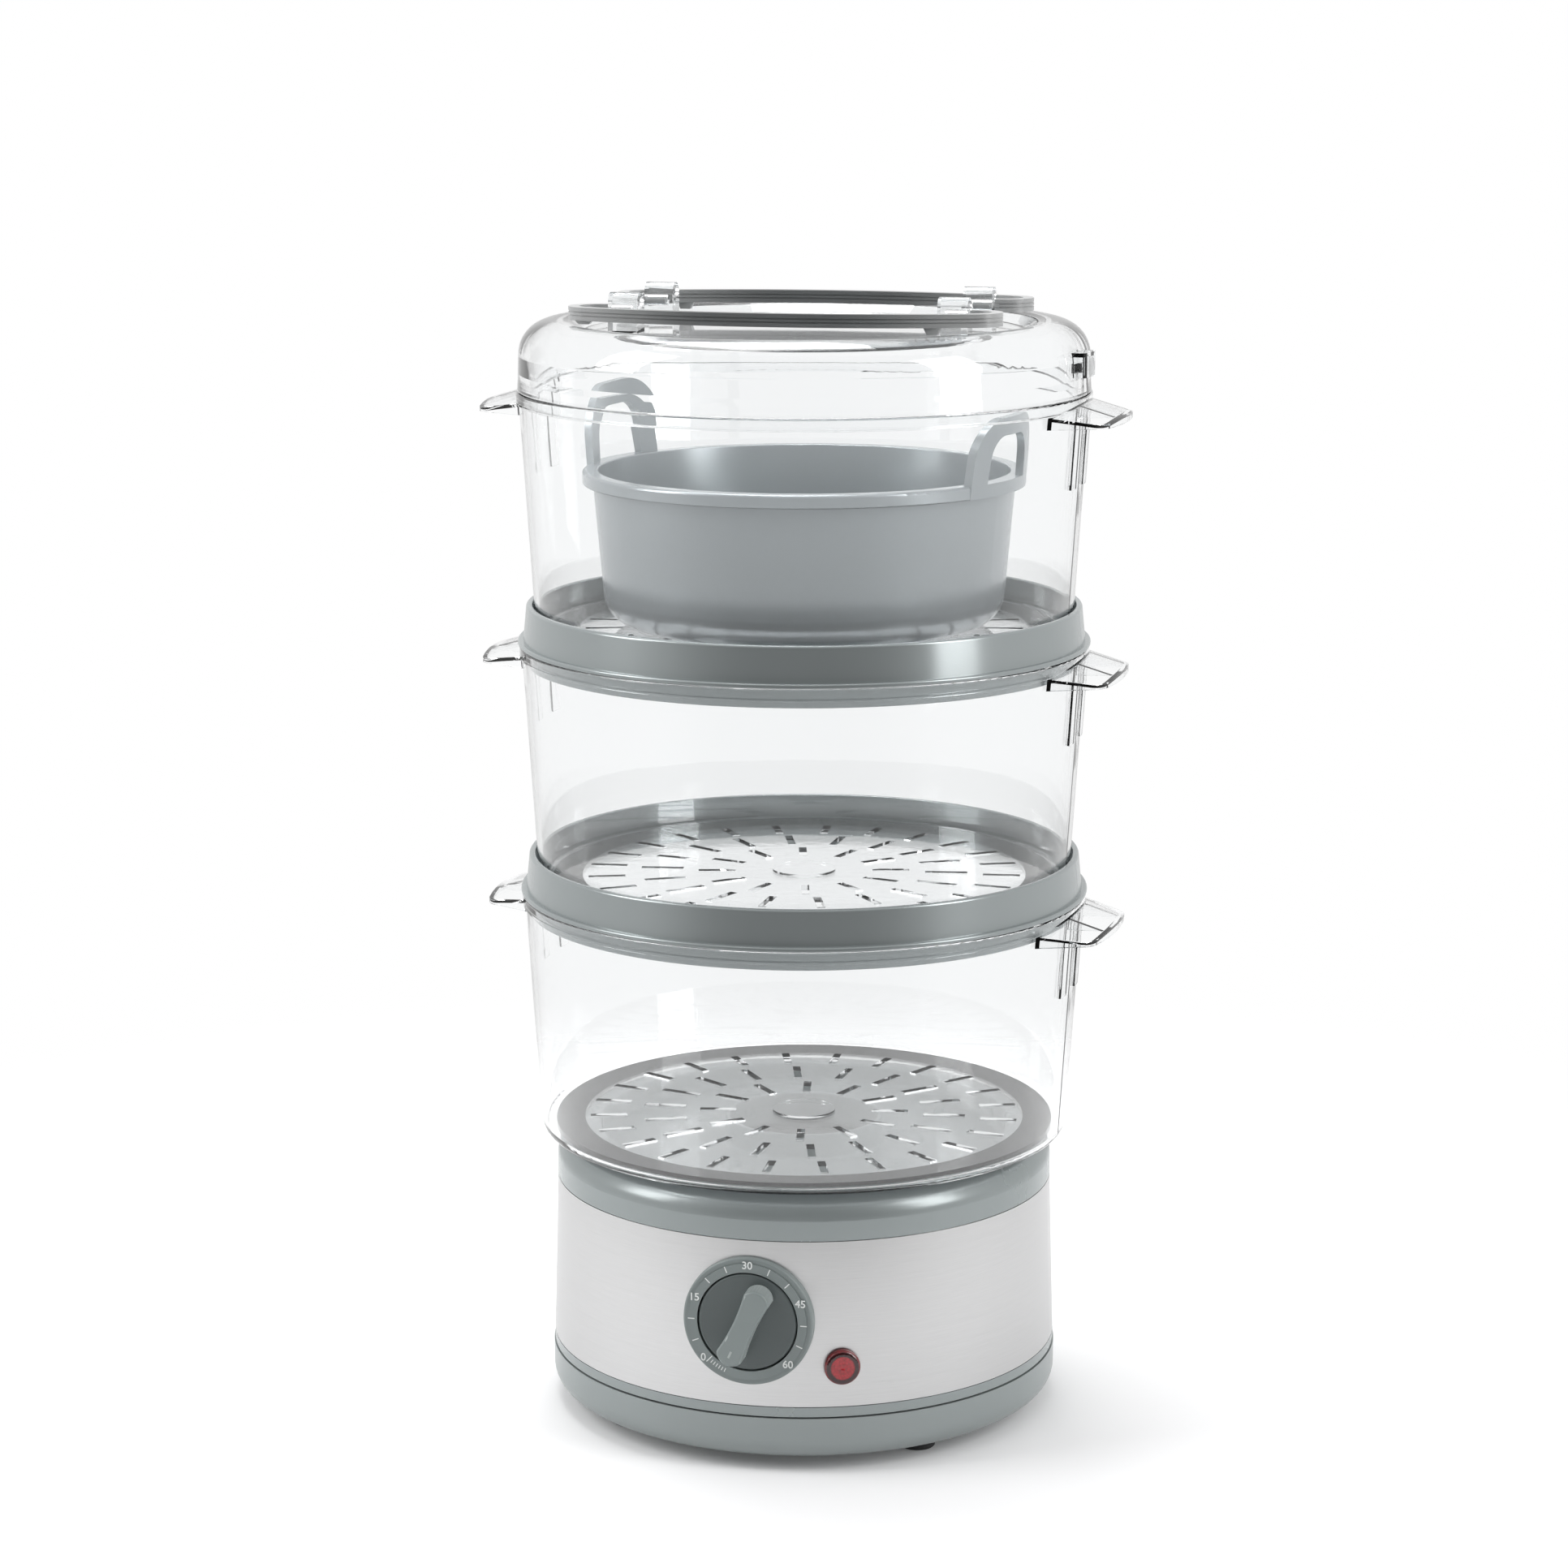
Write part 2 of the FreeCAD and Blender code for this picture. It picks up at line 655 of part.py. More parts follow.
def make_collar(rim):
    """Grey ring between two baskets: bead, outer wall, inner ledge and a skirt below."""
    base = rim + seat
    bead = base + collar_bead
    top = rim + collar_height
    skirt_out = basket_high_radius - basket_wall - slip - 0.4
    skirt_in = skirt_out - collar_wall
    inner = basket_radius(collar_height) + slip
    ledge_top = rim + tier_pitch - basket_height - seat
    low_out = basket_high_radius - collar_low_inset
    bead_out = basket_high_radius + collar_bead_stand
    return turned([(collar_inner, ledge_top, 0.5), (inner, ledge_top), (inner, top, 0.6),
                   (basket_high_radius - collar_high_inset, top, 1.0), (low_out, bead),
                   (bead_out, bead, 0.7), (bead_out, base, 0.4),
                   (skirt_out, base), (skirt_out, rim - collar_skirt, 0.5),
                   (skirt_in, rim - collar_skirt, 0.5), (skirt_in, base - 0.1),
                   (collar_inner, base - 0.1, 0.5)])


def make_bowl_loop():
    """Arched loop handle over the bowl's rim, upright on +X."""
    low = bowl_rim_top - bowl_rim_band
    top = bowl_rim_top + loop_rise
    span = loop_half
    outer = rounded_wire([(-span, low), (span, low), (span - 1.5, top, 15.0), (-span + 1.5, top, 15.0)])
    inner_half = span - loop_leg
    inner = rounded_wire([(-inner_half, bowl_rim_top), (inner_half, bowl_rim_top),
                          (inner_half - 2.0, top - 6.0, 9.0), (-inner_half + 2.0, top - 6.0, 9.0)])
    outer_block = Part.Face(outer).extrude(vec(0, 60, 0))
    inner_block = Part.Face(inner).extrude(vec(0, 60, 0))
    arch = outer_block.cut(inner_block)
    arch.rotate(vec(), UP, -90)
    arch.translate(vec(45, 0, 0))
    shell = turned([(bowl_rim_radius - loop_thick, low), (bowl_rim_radius, low),
                    (bowl_rim_radius + 2.5, top), (bowl_rim_radius + 2.5 - loop_thick, top)])
    return arch.common(shell)


def make_bowl():
    low = rim_3 - basket_height + floor_thick + floor_thick + seat + 0.8
    wall = bowl_wall
    band_low = bowl_rim_top - bowl_rim_band
    profile = [(0, low), (bowl_base_radius, low, bowl_corner), (bowl_wall_radius, band_low),
               (bowl_rim_radius, band_low, 0.5), (bowl_rim_radius, bowl_rim_top, 1.2),
               (bowl_wall_radius - wall, bowl_rim_top, 0.5),
               (bowl_base_radius - wall, low + wall, bowl_corner - wall), (0, low + wall)]
    bowl = turned(profile)
    loop = make_bowl_loop()
    bowl = bowl.fuse([loop, spun(loop, 180)]).removeSplitter()
    return spun(bowl, bowl_turn)


def make_lug():
    """Rounded hinge knuckle that stands on the lid's recess."""
    foot = recess_floor() - 0.5
    rise = lug_top - foot
    half = lug_length / 2
    wire = rounded_wire([(-half, foot), (half, foot), (half - 0.8, lug_top, 4.0),
                         (-half + 0.8, lug_top, 4.0)])
    lug = Part.Face(wire).extrude(vec(0, lug_width, 0))
    lug.rotate(vec(), UP, 90)
    lug.translate(vec(lug_width / 2, 0, 0))
    bore = rod(pin_radius + running, lug_width - 2.5, vec(lug_width / 2, 0, hinge_height), vec(-1, 0, 0))
    return lug.cut(bore) if rise > 0 else lug


def recess_floor():
    return rim_3 + lid_height - lid_recess_depth


def make_lid():
    base = rim_3 + seat
    top = rim_3 + lid_height
    wall = lid_wall
    recess = recess_floor()
    skirt_out = basket_high_radius - basket_wall - slip - 0.4
    inner = lid_radius - wall
    bottom_edge = lid_recess_radius - lid_recess_slope
    profile = [(0, recess), (bottom_edge, recess, 1.5), (lid_recess_radius, top - 0.6, 1.5),
               (lid_recess_radius + 3.0, top, 2.0),
               (lid_radius - 0.6, top, lid_shoulder), (lid_radius, base + 4.0),
               (lid_radius + 0.3, base, 0.3), (skirt_out, base), (skirt_out, rim_3 - lid_skirt, 0.4),
               (skirt_out - 1.6, rim_3 - lid_skirt, 0.4), (inner - 2.6, base + 6.0),
               (inner - 1.6, top - wall, lid_shoulder - wall),
               (lid_recess_radius + 1.0, top - wall, 1.0),
               (bottom_edge + 1.5, recess - wall, 2.0), (0, recess - wall)]
    lid = turned(profile)
    lug = make_lug()
    lugs = []
    for side in (-1, 1):
        for front in (-1, 1):
            copy = lug.copy() if side > 0 else spun(lug, 180)
            copy.translate(vec(side * lug_x, front * lug_y, 0))
            lugs.append(copy)
    lid = lid.fuse(lugs + [vent_hood()]).cut(pin_bores() + [vent_hole()])
    return lid.removeSplitter()


def vent_hood():
    """Small hood over the steam vent in the lid's side."""
    low = rim_3 + 8.0
    outer = lid_radius + vent_stand
    hood = block(outer - lid_radius + 3.0, vent_width, vent_height,
                 (outer + lid_radius - 3.0) / 2, 0, low)
    upright = [e for e in hood.Edges if e.BoundBox.XMin > outer - 0.1
               and e.BoundBox.ZLength > 1.0]
    hood = hood.makeFillet(2.5, upright)
    room = block(outer - lid_radius + 0.4, vent_width - 3.0, vent_height - 1.6,
                 (outer + lid_radius - 3.4) / 2, 0, low - 0.01)
    return spun(hood.cut(room), vent_turn)


def vent_hole():
    low = rim_3 + 9.5
    slot = block(12.0, vent_width - 5.0, vent_slot, lid_radius - 4.0, 0, low)
    return spun(slot, vent_turn)


def pin_bores():
    bores = []
    for side in (-1, 1):
        for front in (-1, 1):
            start = vec(side * (lug_x + lug_width), front * lug_y, hinge_height)
            bores.append(rod(pin_radius + running, lug_width * 1.5 - 2.5, start, vec(-side, 0, 0)))
    return bores


def handle_plan(half_width):
    """Plan of one handle in front of the lid's centre: a bow with a hook at each end."""
    rise = bar_mid - bar_end_y
    bow = (bar_end_x ** 2 + rise ** 2) / (2 * rise)
    slope = math.asin(bar_end_x / bow)
    hook = (bar_end_y - lug_y) / (1 + math.cos(slope))
    outer, inner = bow + half_width, bow - half_width
    centre_y = -bar_mid + bow
    hook_x = bar_end_x - hook * math.sin(slope)
    hook_y = -bar_end_y + hook * math.cos(slope)

    def on_bow(radius, side):
        return vec(side * radius * math.sin(slope), centre_y - radius * math.cos(slope))

    def on_hook(radius, angle, side):
        return vec(side * (hook_x + radius * math.sin(angle)), hook_y - radius * math.cos(angle))

    wide, tight = hook + half_width, hook - half_width
    middle = (slope + math.pi) / 2
    pin_x = lug_x + lug_width / 2 + 0.5
    edges = [Part.Arc(on_bow(outer, -1), vec(0, centre_y - outer), on_bow(outer, 1)).toShape(),
             Part.Arc(on_bow(inner, -1), vec(0, centre_y - inner), on_bow(inner, 1)).toShape()]
    for side in (-1, 1):
        edges.append(Part.Arc(on_hook(wide, slope, side), on_hook(wide, middle, side),
                              on_hook(wide, math.pi, side)).toShape())
        edges.append(Part.Arc(on_hook(tight, slope, side), on_hook(tight, middle, side),
                              on_hook(tight, math.pi, side)).toShape())
        top_y, low_y = hook_y + wide, hook_y + tight
        corner_top, corner_low = vec(side * pin_x, top_y), vec(side * pin_x, low_y)
        edges.append(Part.LineSegment(on_hook(wide, math.pi, side), corner_top).toShape())
        edges.append(Part.LineSegment(corner_top, corner_low).toShape())
        edges.append(Part.LineSegment(corner_low, on_hook(tight, math.pi, side)).toShape())
    return Part.Face(Part.Wire(Part.__sortEdges__(edges)))


def make_handle(back):
    bottom = hinge_height - bar_height / 2
    layers = ((0.0, 1.5, 0.0), (1.5, 0.5, bar_groove), (2.0, 0.8, 0.0),
              (2.8, 0.5, bar_groove), (3.3, 1.5, 0.0))
    slabs = []
    for start, thick, inset in layers:
        face = handle_plan(bar_width / 2 - inset)
        face.translate(vec(0, 0, bottom + start))
        slabs.append(face.extrude(vec(0, 0, thick)))
    handle = slabs[0].fuse(slabs[1:])
    extras = []
    for side in (-1, 1):
        start = vec(side * (lug_x + lug_width / 2 + 2.0), -lug_y, hinge_height)
        extras.append(rod(pin_radius, lug_width - 1.5, start, vec(-side, 0, 0)))
    for x, height in tab_places:
        tab_low = bottom - height
        tab_y = math.sqrt(bow_radius() ** 2 - x ** 2) - bow_radius() + bar_mid
        wire = Part.makePolygon([vec(-1.9, 0, tab_low), vec(1.9, 0, tab_low),
                                 vec(3.2, 0, bottom + 0.2), vec(-3.2, 0, bottom + 0.2),
                                 vec(-1.9, 0, tab_low)])
        tab = Part.Face(wire).extrude(vec(0, 3.0, 0))
        tab.translate(vec(x, -tab_y - 1.5, 0))
        extras.append(tab)
    handle = handle.fuse(extras).removeSplitter()
    return spun(handle, 180) if back else handle


def bow_radius():
    rise = bar_mid - bar_end_y
    return (bar_end_x ** 2 + rise ** 2) / (2 * rise)


def main():
    os.makedirs("parts", exist_ok=True)
    nodes = {
        "feet": make_feet(), "base_pan": make_pan(), "base_screws": make_screws(),
        "cord_grommet": make_grommet(), "housing": make_housing(), "steel_band": make_band(),
        "dial_ring": make_dial_ring(), "timer_knob": make_knob(), "knob_grip": make_grip(),
        "timer_shaft": make_shaft(), "timer": make_timer(), "timer_bell": make_bell(),
        "lamp_lens": make_lens(), "neon_lamp": make_neon(), "heater_plate": make_heater(),
        "heater_seal": make_seal(), "heater_clamp": make_clamp(),
        "thermostat": make_thermostat(),
        "thermal_fuse": make_fuse(), "steam_ring": make_steam_ring(), "drip_tray": make_tray(),
        "rice_bowl": make_bowl(), "lid": make_lid(),
        "lid_handle_front": make_handle(False), "lid_handle_back": make_handle(True),
    }
    for tier, (rim, turn) in enumerate(zip(rims, basket_turns), 1):
        nodes[f"basket_{tier}"] = make_basket(rim, turn)
        nodes[f"basket_floor_{tier}"] = make_floor(rim, turn)
    for tier, rim in enumerate(rims[:2], 1):
        nodes[f"collar_{tier}"] = make_collar(rim)
    for name, shape in nodes.items():
        if not shape.isValid():
            print("not valid:", name)
        print(name, len(shape.Solids), "solid", round(shape.Volume / 1000, 2), "cm3")
        shape.exportStep(os.path.join("parts", name + ".step"))


main()
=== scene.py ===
import math

import bpy
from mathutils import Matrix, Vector


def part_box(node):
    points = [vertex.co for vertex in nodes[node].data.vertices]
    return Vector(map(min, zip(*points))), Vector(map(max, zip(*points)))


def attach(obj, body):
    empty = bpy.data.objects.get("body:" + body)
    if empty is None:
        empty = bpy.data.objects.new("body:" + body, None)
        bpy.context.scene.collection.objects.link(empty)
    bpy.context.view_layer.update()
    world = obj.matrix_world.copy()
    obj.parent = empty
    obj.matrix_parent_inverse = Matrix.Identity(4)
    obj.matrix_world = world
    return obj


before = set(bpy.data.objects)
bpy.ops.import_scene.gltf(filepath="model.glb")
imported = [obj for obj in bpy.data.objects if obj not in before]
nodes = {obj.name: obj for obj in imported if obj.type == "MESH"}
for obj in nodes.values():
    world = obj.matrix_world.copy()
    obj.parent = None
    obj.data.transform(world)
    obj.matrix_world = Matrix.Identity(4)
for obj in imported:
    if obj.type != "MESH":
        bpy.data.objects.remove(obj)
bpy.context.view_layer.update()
print("frame loaded,", len(nodes), "nodes")

# Where the photograph was taken from, metres and degrees
camera = {
    "place": (0.3060, -1.4152, 0.5308),
    "heading": 12.495,
    "pitch": 11.412,
    "roll": 0.033,
    "lens": 89.68,
    "sensor": 36.0,
}

# Brightness of the room: what matt parts and shiny parts get from the camera's side and
# from everywhere else
studio = {
    "floorSize": 1.6,
    "floorFade": (0.34, 0.62),   # metres from the object where the floor fades to white
    "floorColour": (0.90, 0.90, 0.905),
    "floorLift": 0.05,
    "mattFront": 0.07,
    "mattSide": 0.72,
    "shinyFront": 0.10,
    "shinySide": 0.86,
}


def makeCamera(spec):
    data = bpy.data.cameras.new("photoCamera")
    data.lens = spec["lens"]
    data.sensor_width = spec["sensor"]
    data.clip_start = 0.05
    data.clip_end = 20
    obj = bpy.data.objects.new("photoCamera", data)
    obj.location = spec["place"]
    obj.rotation_euler = (
        math.radians(90 - spec["pitch"]),
        math.radians(spec["roll"]),
        math.radians(spec["heading"]),
    )
    bpy.context.scene.collection.objects.link(obj)
    bpy.context.scene.camera = obj
    return obj


def addNode(tree, kind, place=(0, 0), **values):
    node = tree.nodes.new(kind)
    node.location = place
    for name, value in values.items():
        setattr(node, name, value)
    return node


def newGroup(name, inputs, outputs):
    group = bpy.data.node_groups.new(name, "ShaderNodeTree")
    for label, kind, value in inputs:
        item = group.interface.new_socket(name=label, in_out="INPUT", socket_type=kind)
        if value is not None:
            item.default_value = value
    for label, kind in outputs:
        group.interface.new_socket(name=label, in_out="OUTPUT", socket_type=kind)
    enter = group.nodes.new("NodeGroupInput")
    enter.location = (-900, 0)
    leave = group.nodes.new("NodeGroupOutput")
    leave.location = (700, 0)
    return group, enter, leave


# Sizes of the patterns in the shared groups, in waves per metre unless a note says more
grain = {
    "cloudScale": 14,
    "smudgeScale": 38,
    "dustScale": 60,
    "brushAlong": 9.0,      # streaks per radian round the base
    "brushBroad": 0.12,     # scale of the broad streaks against the fine ones
    "brushShare": 0.45,     # how much the broad streaks add
    "brushMiddle": 0.72,    # what both come to on average
    "dustFrom": 0.2,        # a face gathers dust once its normal points up this much
}


def makeMouldGroup():
    # Moulded plastic: faint cloudiness in the colour, fine skin for bump and roughness
    group, enter, leave = newGroup(
        "mouldedSkin",
        [
            ("Colour", "NodeSocketColor", (0.5, 0.5, 0.5, 1)),
            ("Cloud", "NodeSocketFloat", 0.06),
            ("Rough", "NodeSocketFloat", 0.3),
            ("Rough Spread", "NodeSocketFloat", 0.08),
            ("Skin Scale", "NodeSocketFloat", 900.0),
        ],
        [
            ("Colour", "NodeSocketColor"),
            ("Roughness", "NodeSocketFloat"),
            ("Height", "NodeSocketFloat"),
        ],
    )
    coords = addNode(group, "ShaderNodeTexCoord", (-900, -300))
    cloud = addNode(group, "ShaderNodeTexNoise", (-650, 250))
    cloud.inputs["Scale"].default_value = grain["cloudScale"]
    cloud.inputs["Detail"].default_value = 3
    skin = addNode(group, "ShaderNodeTexNoise", (-650, -250))
    skin.inputs["Detail"].default_value = 2
    smudge = addNode(group, "ShaderNodeTexNoise", (-650, 0))
    smudge.inputs["Scale"].default_value = grain["smudgeScale"]
    smudge.inputs["Detail"].default_value = 5
    shift = addNode(group, "ShaderNodeMapRange", (-400, 250))
    shift.inputs["From Min"].default_value = 0.3
    shift.inputs["From Max"].default_value = 0.7
    shift.inputs["To Min"].default_value = -0.5
    shift.inputs["To Max"].default_value = 0.5
    amount = addNode(group, "ShaderNodeMath", (-200, 250), operation="MULTIPLY_ADD")
    amount.inputs[2].default_value = 1.0
    tint = addNode(group, "ShaderNodeVectorMath", (200, 250), operation="SCALE")
    spread = addNode(group, "ShaderNodeMath", (-200, 0), operation="SUBTRACT")
    spread.inputs[1].default_value = 0.5
    roughness = addNode(group, "ShaderNodeMath", (0, 0), operation="MULTIPLY_ADD")
    link = group.links.new
    for texture in (cloud, skin, smudge):
        link(coords.outputs["Object"], texture.inputs["Vector"])
    link(enter.outputs["Skin Scale"], skin.inputs["Scale"])
    link(cloud.outputs["Fac"], shift.inputs["Value"])
    link(shift.outputs["Result"], amount.inputs[0])
    link(enter.outputs["Cloud"], amount.inputs[1])
    link(enter.outputs["Colour"], tint.inputs[0])
    link(amount.outputs[0], tint.inputs["Scale"])
    link(smudge.outputs["Fac"], spread.inputs[0])
    link(spread.outputs[0], roughness.inputs[0])
    link(enter.outputs["Rough Spread"], roughness.inputs[1])
    link(enter.outputs["Rough"], roughness.inputs[2])
    link(tint.outputs[0], leave.inputs["Colour"])
    link(roughness.outputs[0], leave.inputs["Roughness"])
    link(skin.outputs["Fac"], leave.inputs["Height"])
    return group


def makeBrushGroup():
    # Brushed metal: streaks that run round the base at a fixed height
    group, enter, leave = newGroup(
        "brushedRound",
        [
            ("Colour", "NodeSocketColor", (0.7, 0.7, 0.7, 1)),
            ("Streak", "NodeSocketFloat", 0.1),
            ("Rough", "NodeSocketFloat", 0.3),
            ("Rough Spread", "NodeSocketFloat", 0.15),
            ("Fine", "NodeSocketFloat", 5200.0),
        ],
        [
            ("Colour", "NodeSocketColor"),
            ("Roughness", "NodeSocketFloat"),
            ("Height", "NodeSocketFloat"),
        ],
    )
    coords = addNode(group, "ShaderNodeTexCoord", (-1100, -200))
    split = addNode(group, "ShaderNodeSeparateXYZ", (-950, -200))
    angle = addNode(group, "ShaderNodeMath", (-780, -100), operation="ARCTAN2")
    along = addNode(group, "ShaderNodeMath", (-620, -100), operation="MULTIPLY")
    along.inputs[1].default_value = grain["brushAlong"]
    height = addNode(group, "ShaderNodeMath", (-620, -300), operation="MULTIPLY")
    joined = addNode(group, "ShaderNodeCombineXYZ", (-450, -200))
    fine = addNode(group, "ShaderNodeTexNoise", (-280, -100))
    fine.inputs["Scale"].default_value = 1.0
    fine.inputs["Detail"].default_value = 4
    wide = addNode(group, "ShaderNodeTexNoise", (-280, 200))
    wide.inputs["Scale"].default_value = grain["brushBroad"]
    wide.inputs["Detail"].default_value = 2
    both = addNode(group, "ShaderNodeMath", (-80, 100), operation="MULTIPLY_ADD")
    both.inputs[1].default_value = grain["brushShare"]
    centre = addNode(group, "ShaderNodeMath", (80, 100), operation="SUBTRACT")
    centre.inputs[1].default_value = grain["brushMiddle"]
    amount = addNode(group, "ShaderNodeMath", (240, 100), operation="MULTIPLY_ADD")
    amount.inputs[2].default_value = 1.0
    tint = addNode(group, "ShaderNodeVectorMath", (420, 200), operation="SCALE")
    roughness = addNode(group, "ShaderNodeMath", (420, -50), operation="MULTIPLY_ADD")
    link = group.links.new
    link(coords.outputs["Object"], split.inputs[0])
    link(split.outputs["X"], angle.inputs[0])
    link(split.outputs["Y"], angle.inputs[1])
    link(angle.outputs[0], along.inputs[0])
    link(split.outputs["Z"], height.inputs[0])
    link(enter.outputs["Fine"], height.inputs[1])
    link(along.outputs[0], joined.inputs["X"])
    link(height.outputs[0], joined.inputs["Y"])
    for texture in (fine, wide):
        link(joined.outputs[0], texture.inputs["Vector"])
    link(wide.outputs["Fac"], both.inputs[0])
    link(fine.outputs["Fac"], both.inputs[2])
    link(both.outputs[0], centre.inputs[0])
    link(centre.outputs[0], amount.inputs[0])
    link(enter.outputs["Streak"], amount.inputs[1])
    link(enter.outputs["Colour"], tint.inputs[0])
    link(amount.outputs[0], tint.inputs["Scale"])
    link(centre.outputs[0], roughness.inputs[0])
    link(enter.outputs["Rough Spread"], roughness.inputs[1])
    link(enter.outputs["Rough"], roughness.inputs[2])
    link(tint.outputs[0], leave.inputs["Colour"])
    link(roughness.outputs[0], leave.inputs["Roughness"])
    link(fine.outputs["Fac"], leave.inputs["Height"])
    return group


def makeDustGroup():
    # Settled dust on faces that look up, broken by noise
    group, enter, leave = newGroup(
        "settledDust",
        [
            ("Colour", "NodeSocketColor", (0.5, 0.5, 0.5, 1)),
            ("Dust Colour", "NodeSocketColor", (0.75, 0.74, 0.72, 1)),
            ("Amount", "NodeSocketFloat", 0.05),
        ],
        [("Colour", "NodeSocketColor")],
    )
    geometry = addNode(group, "ShaderNodeNewGeometry", (-900, -250))
    split = addNode(group, "ShaderNodeSeparateXYZ", (-700, -250))
    coords = addNode(group, "ShaderNodeTexCoord", (-900, -500))
    noise = addNode(group, "ShaderNodeTexNoise", (-700, -500))
    noise.inputs["Scale"].default_value = grain["dustScale"]
    noise.inputs["Detail"].default_value = 6
    up = addNode(group, "ShaderNodeMapRange", (-500, -250))
    up.inputs["From Min"].default_value = grain["dustFrom"]
    lot = addNode(group, "ShaderNodeMath", (-300, -250), operation="MULTIPLY")
    share = addNode(group, "ShaderNodeMath", (-100, -250), operation="MULTIPLY")
    mix = addNode(group, "ShaderNodeMix", (200, 0), data_type="RGBA")
    link = group.links.new
    link(geometry.outputs["Normal"], split.inputs[0])
    link(split.outputs["Z"], up.inputs["Value"])
    link(coords.outputs["Object"], noise.inputs["Vector"])
    link(up.outputs["Result"], lot.inputs[0])
    link(noise.outputs["Fac"], lot.inputs[1])
    link(lot.outputs[0], share.inputs[0])
    link(enter.outputs["Amount"], share.inputs[1])
    link(share.outputs[0], mix.inputs["Factor"])
    link(enter.outputs["Colour"], mix.inputs["A"])
    link(enter.outputs["Dust Colour"], mix.inputs["B"])
    link(mix.outputs["Result"], leave.inputs["Colour"])
    return group


def makeEndsGroup():
    # 0 in the middle of a part and 1 towards its left and right ends, where the lid handles get a
    # painted reflection
    group, enter, leave = newGroup(
        "endsMask",
        [("From", "NodeSocketFloat", 0.02), ("To", "NodeSocketFloat", 0.09)],
        [("Mask", "NodeSocketFloat")],
    )
    coords = addNode(group, "ShaderNodeTexCoord", (-900, -200))
    split = addNode(group, "ShaderNodeSeparateXYZ", (-700, -200))
    away = addNode(group, "ShaderNodeMath", (-500, -200), operation="ABSOLUTE")
    mask = addNode(group, "ShaderNodeMapRange", (-200, 0), interpolation_type="SMOOTHSTEP")
    link = group.links.new
    link(coords.outputs["Object"], split.inputs[0])
    link(split.outputs["X"], away.inputs[0])
    link(away.outputs[0], mask.inputs["Value"])
    link(enter.outputs["From"], mask.inputs["From Min"])
    link(enter.outputs["To"], mask.inputs["From Max"])
    link(mask.outputs["Result"], leave.inputs["Mask"])
    return group


def makeAxisGroup():
    # How far a point is from a straight axis
    group, enter, leave = newGroup(
        "axisDistance",
        [("Centre", "NodeSocketVector", (0, 0, 0)), ("Axis", "NodeSocketVector", (0, 0, 1))],
        [("Distance", "NodeSocketFloat")],
    )
    coords = addNode(group, "ShaderNodeTexCoord", (-900, -200))
    offset = addNode(group, "ShaderNodeVectorMath", (-650, 0), operation="SUBTRACT")
    across = addNode(group, "ShaderNodeVectorMath", (-400, 0), operation="CROSS_PRODUCT")
    length = addNode(group, "ShaderNodeVectorMath", (-150, 0), operation="LENGTH")
    link = group.links.new
    link(coords.outputs["Object"], offset.inputs[0])
    link(enter.outputs["Centre"], offset.inputs[1])
    link(offset.outputs[0], across.inputs[0])
    link(enter.outputs["Axis"], across.inputs[1])
    link(across.outputs[0], length.inputs[0])
    link(length.outputs["Value"], leave.inputs["Distance"])
    return group


mouldedSkin = makeMouldGroup()
brushedRound = makeBrushGroup()
settledDust = makeDustGroup()
endsMask = makeEndsGroup()
axisDistance = makeAxisGroup()
print("shader groups ready")


def startMaterial(name):
    material = bpy.data.materials.new(name)
    material.use_nodes = True
    tree = material.node_tree
    tree.nodes.clear()
    out = addNode(tree, "ShaderNodeOutputMaterial", (700, 0))
    surface = addNode(tree, "ShaderNodeBsdfPrincipled", (350, 0))
    tree.links.new(surface.outputs[0], out.inputs["Surface"])
    return material, tree, surface


def placeGroup(tree, group, place, **values):
    node = addNode(tree, "ShaderNodeGroup", place)
    node.node_tree = group
    for label, value in values.items():
        node.inputs[label.replace("_", " ")].default_value = value
    return node


def addBump(tree, surface, height, strength, distance):
    bump = addNode(tree, "ShaderNodeBump", (100, -300))
    bump.inputs["Strength"].default_value = strength
    bump.inputs["Distance"].default_value = distance
    tree.links.new(height, bump.inputs["Height"])
    tree.links.new(bump.outputs["Normal"], surface.inputs["Normal"])


def tintBy(tree, mask, skin, spec, colour):
    # Feed the skin group the finish's colour, turning to another where the mask is 1
    blend = addNode(tree, "ShaderNodeMix", (-700, 100), data_type="RGBA")
    blend.inputs["A"].default_value = (*spec["colour"], 1)
    blend.inputs["B"].default_value = (*spec[colour], 1)
    tree.links.new(mask, blend.inputs["Factor"])
    tree.links.new(blend.outputs["Result"], skin.inputs["Colour"])


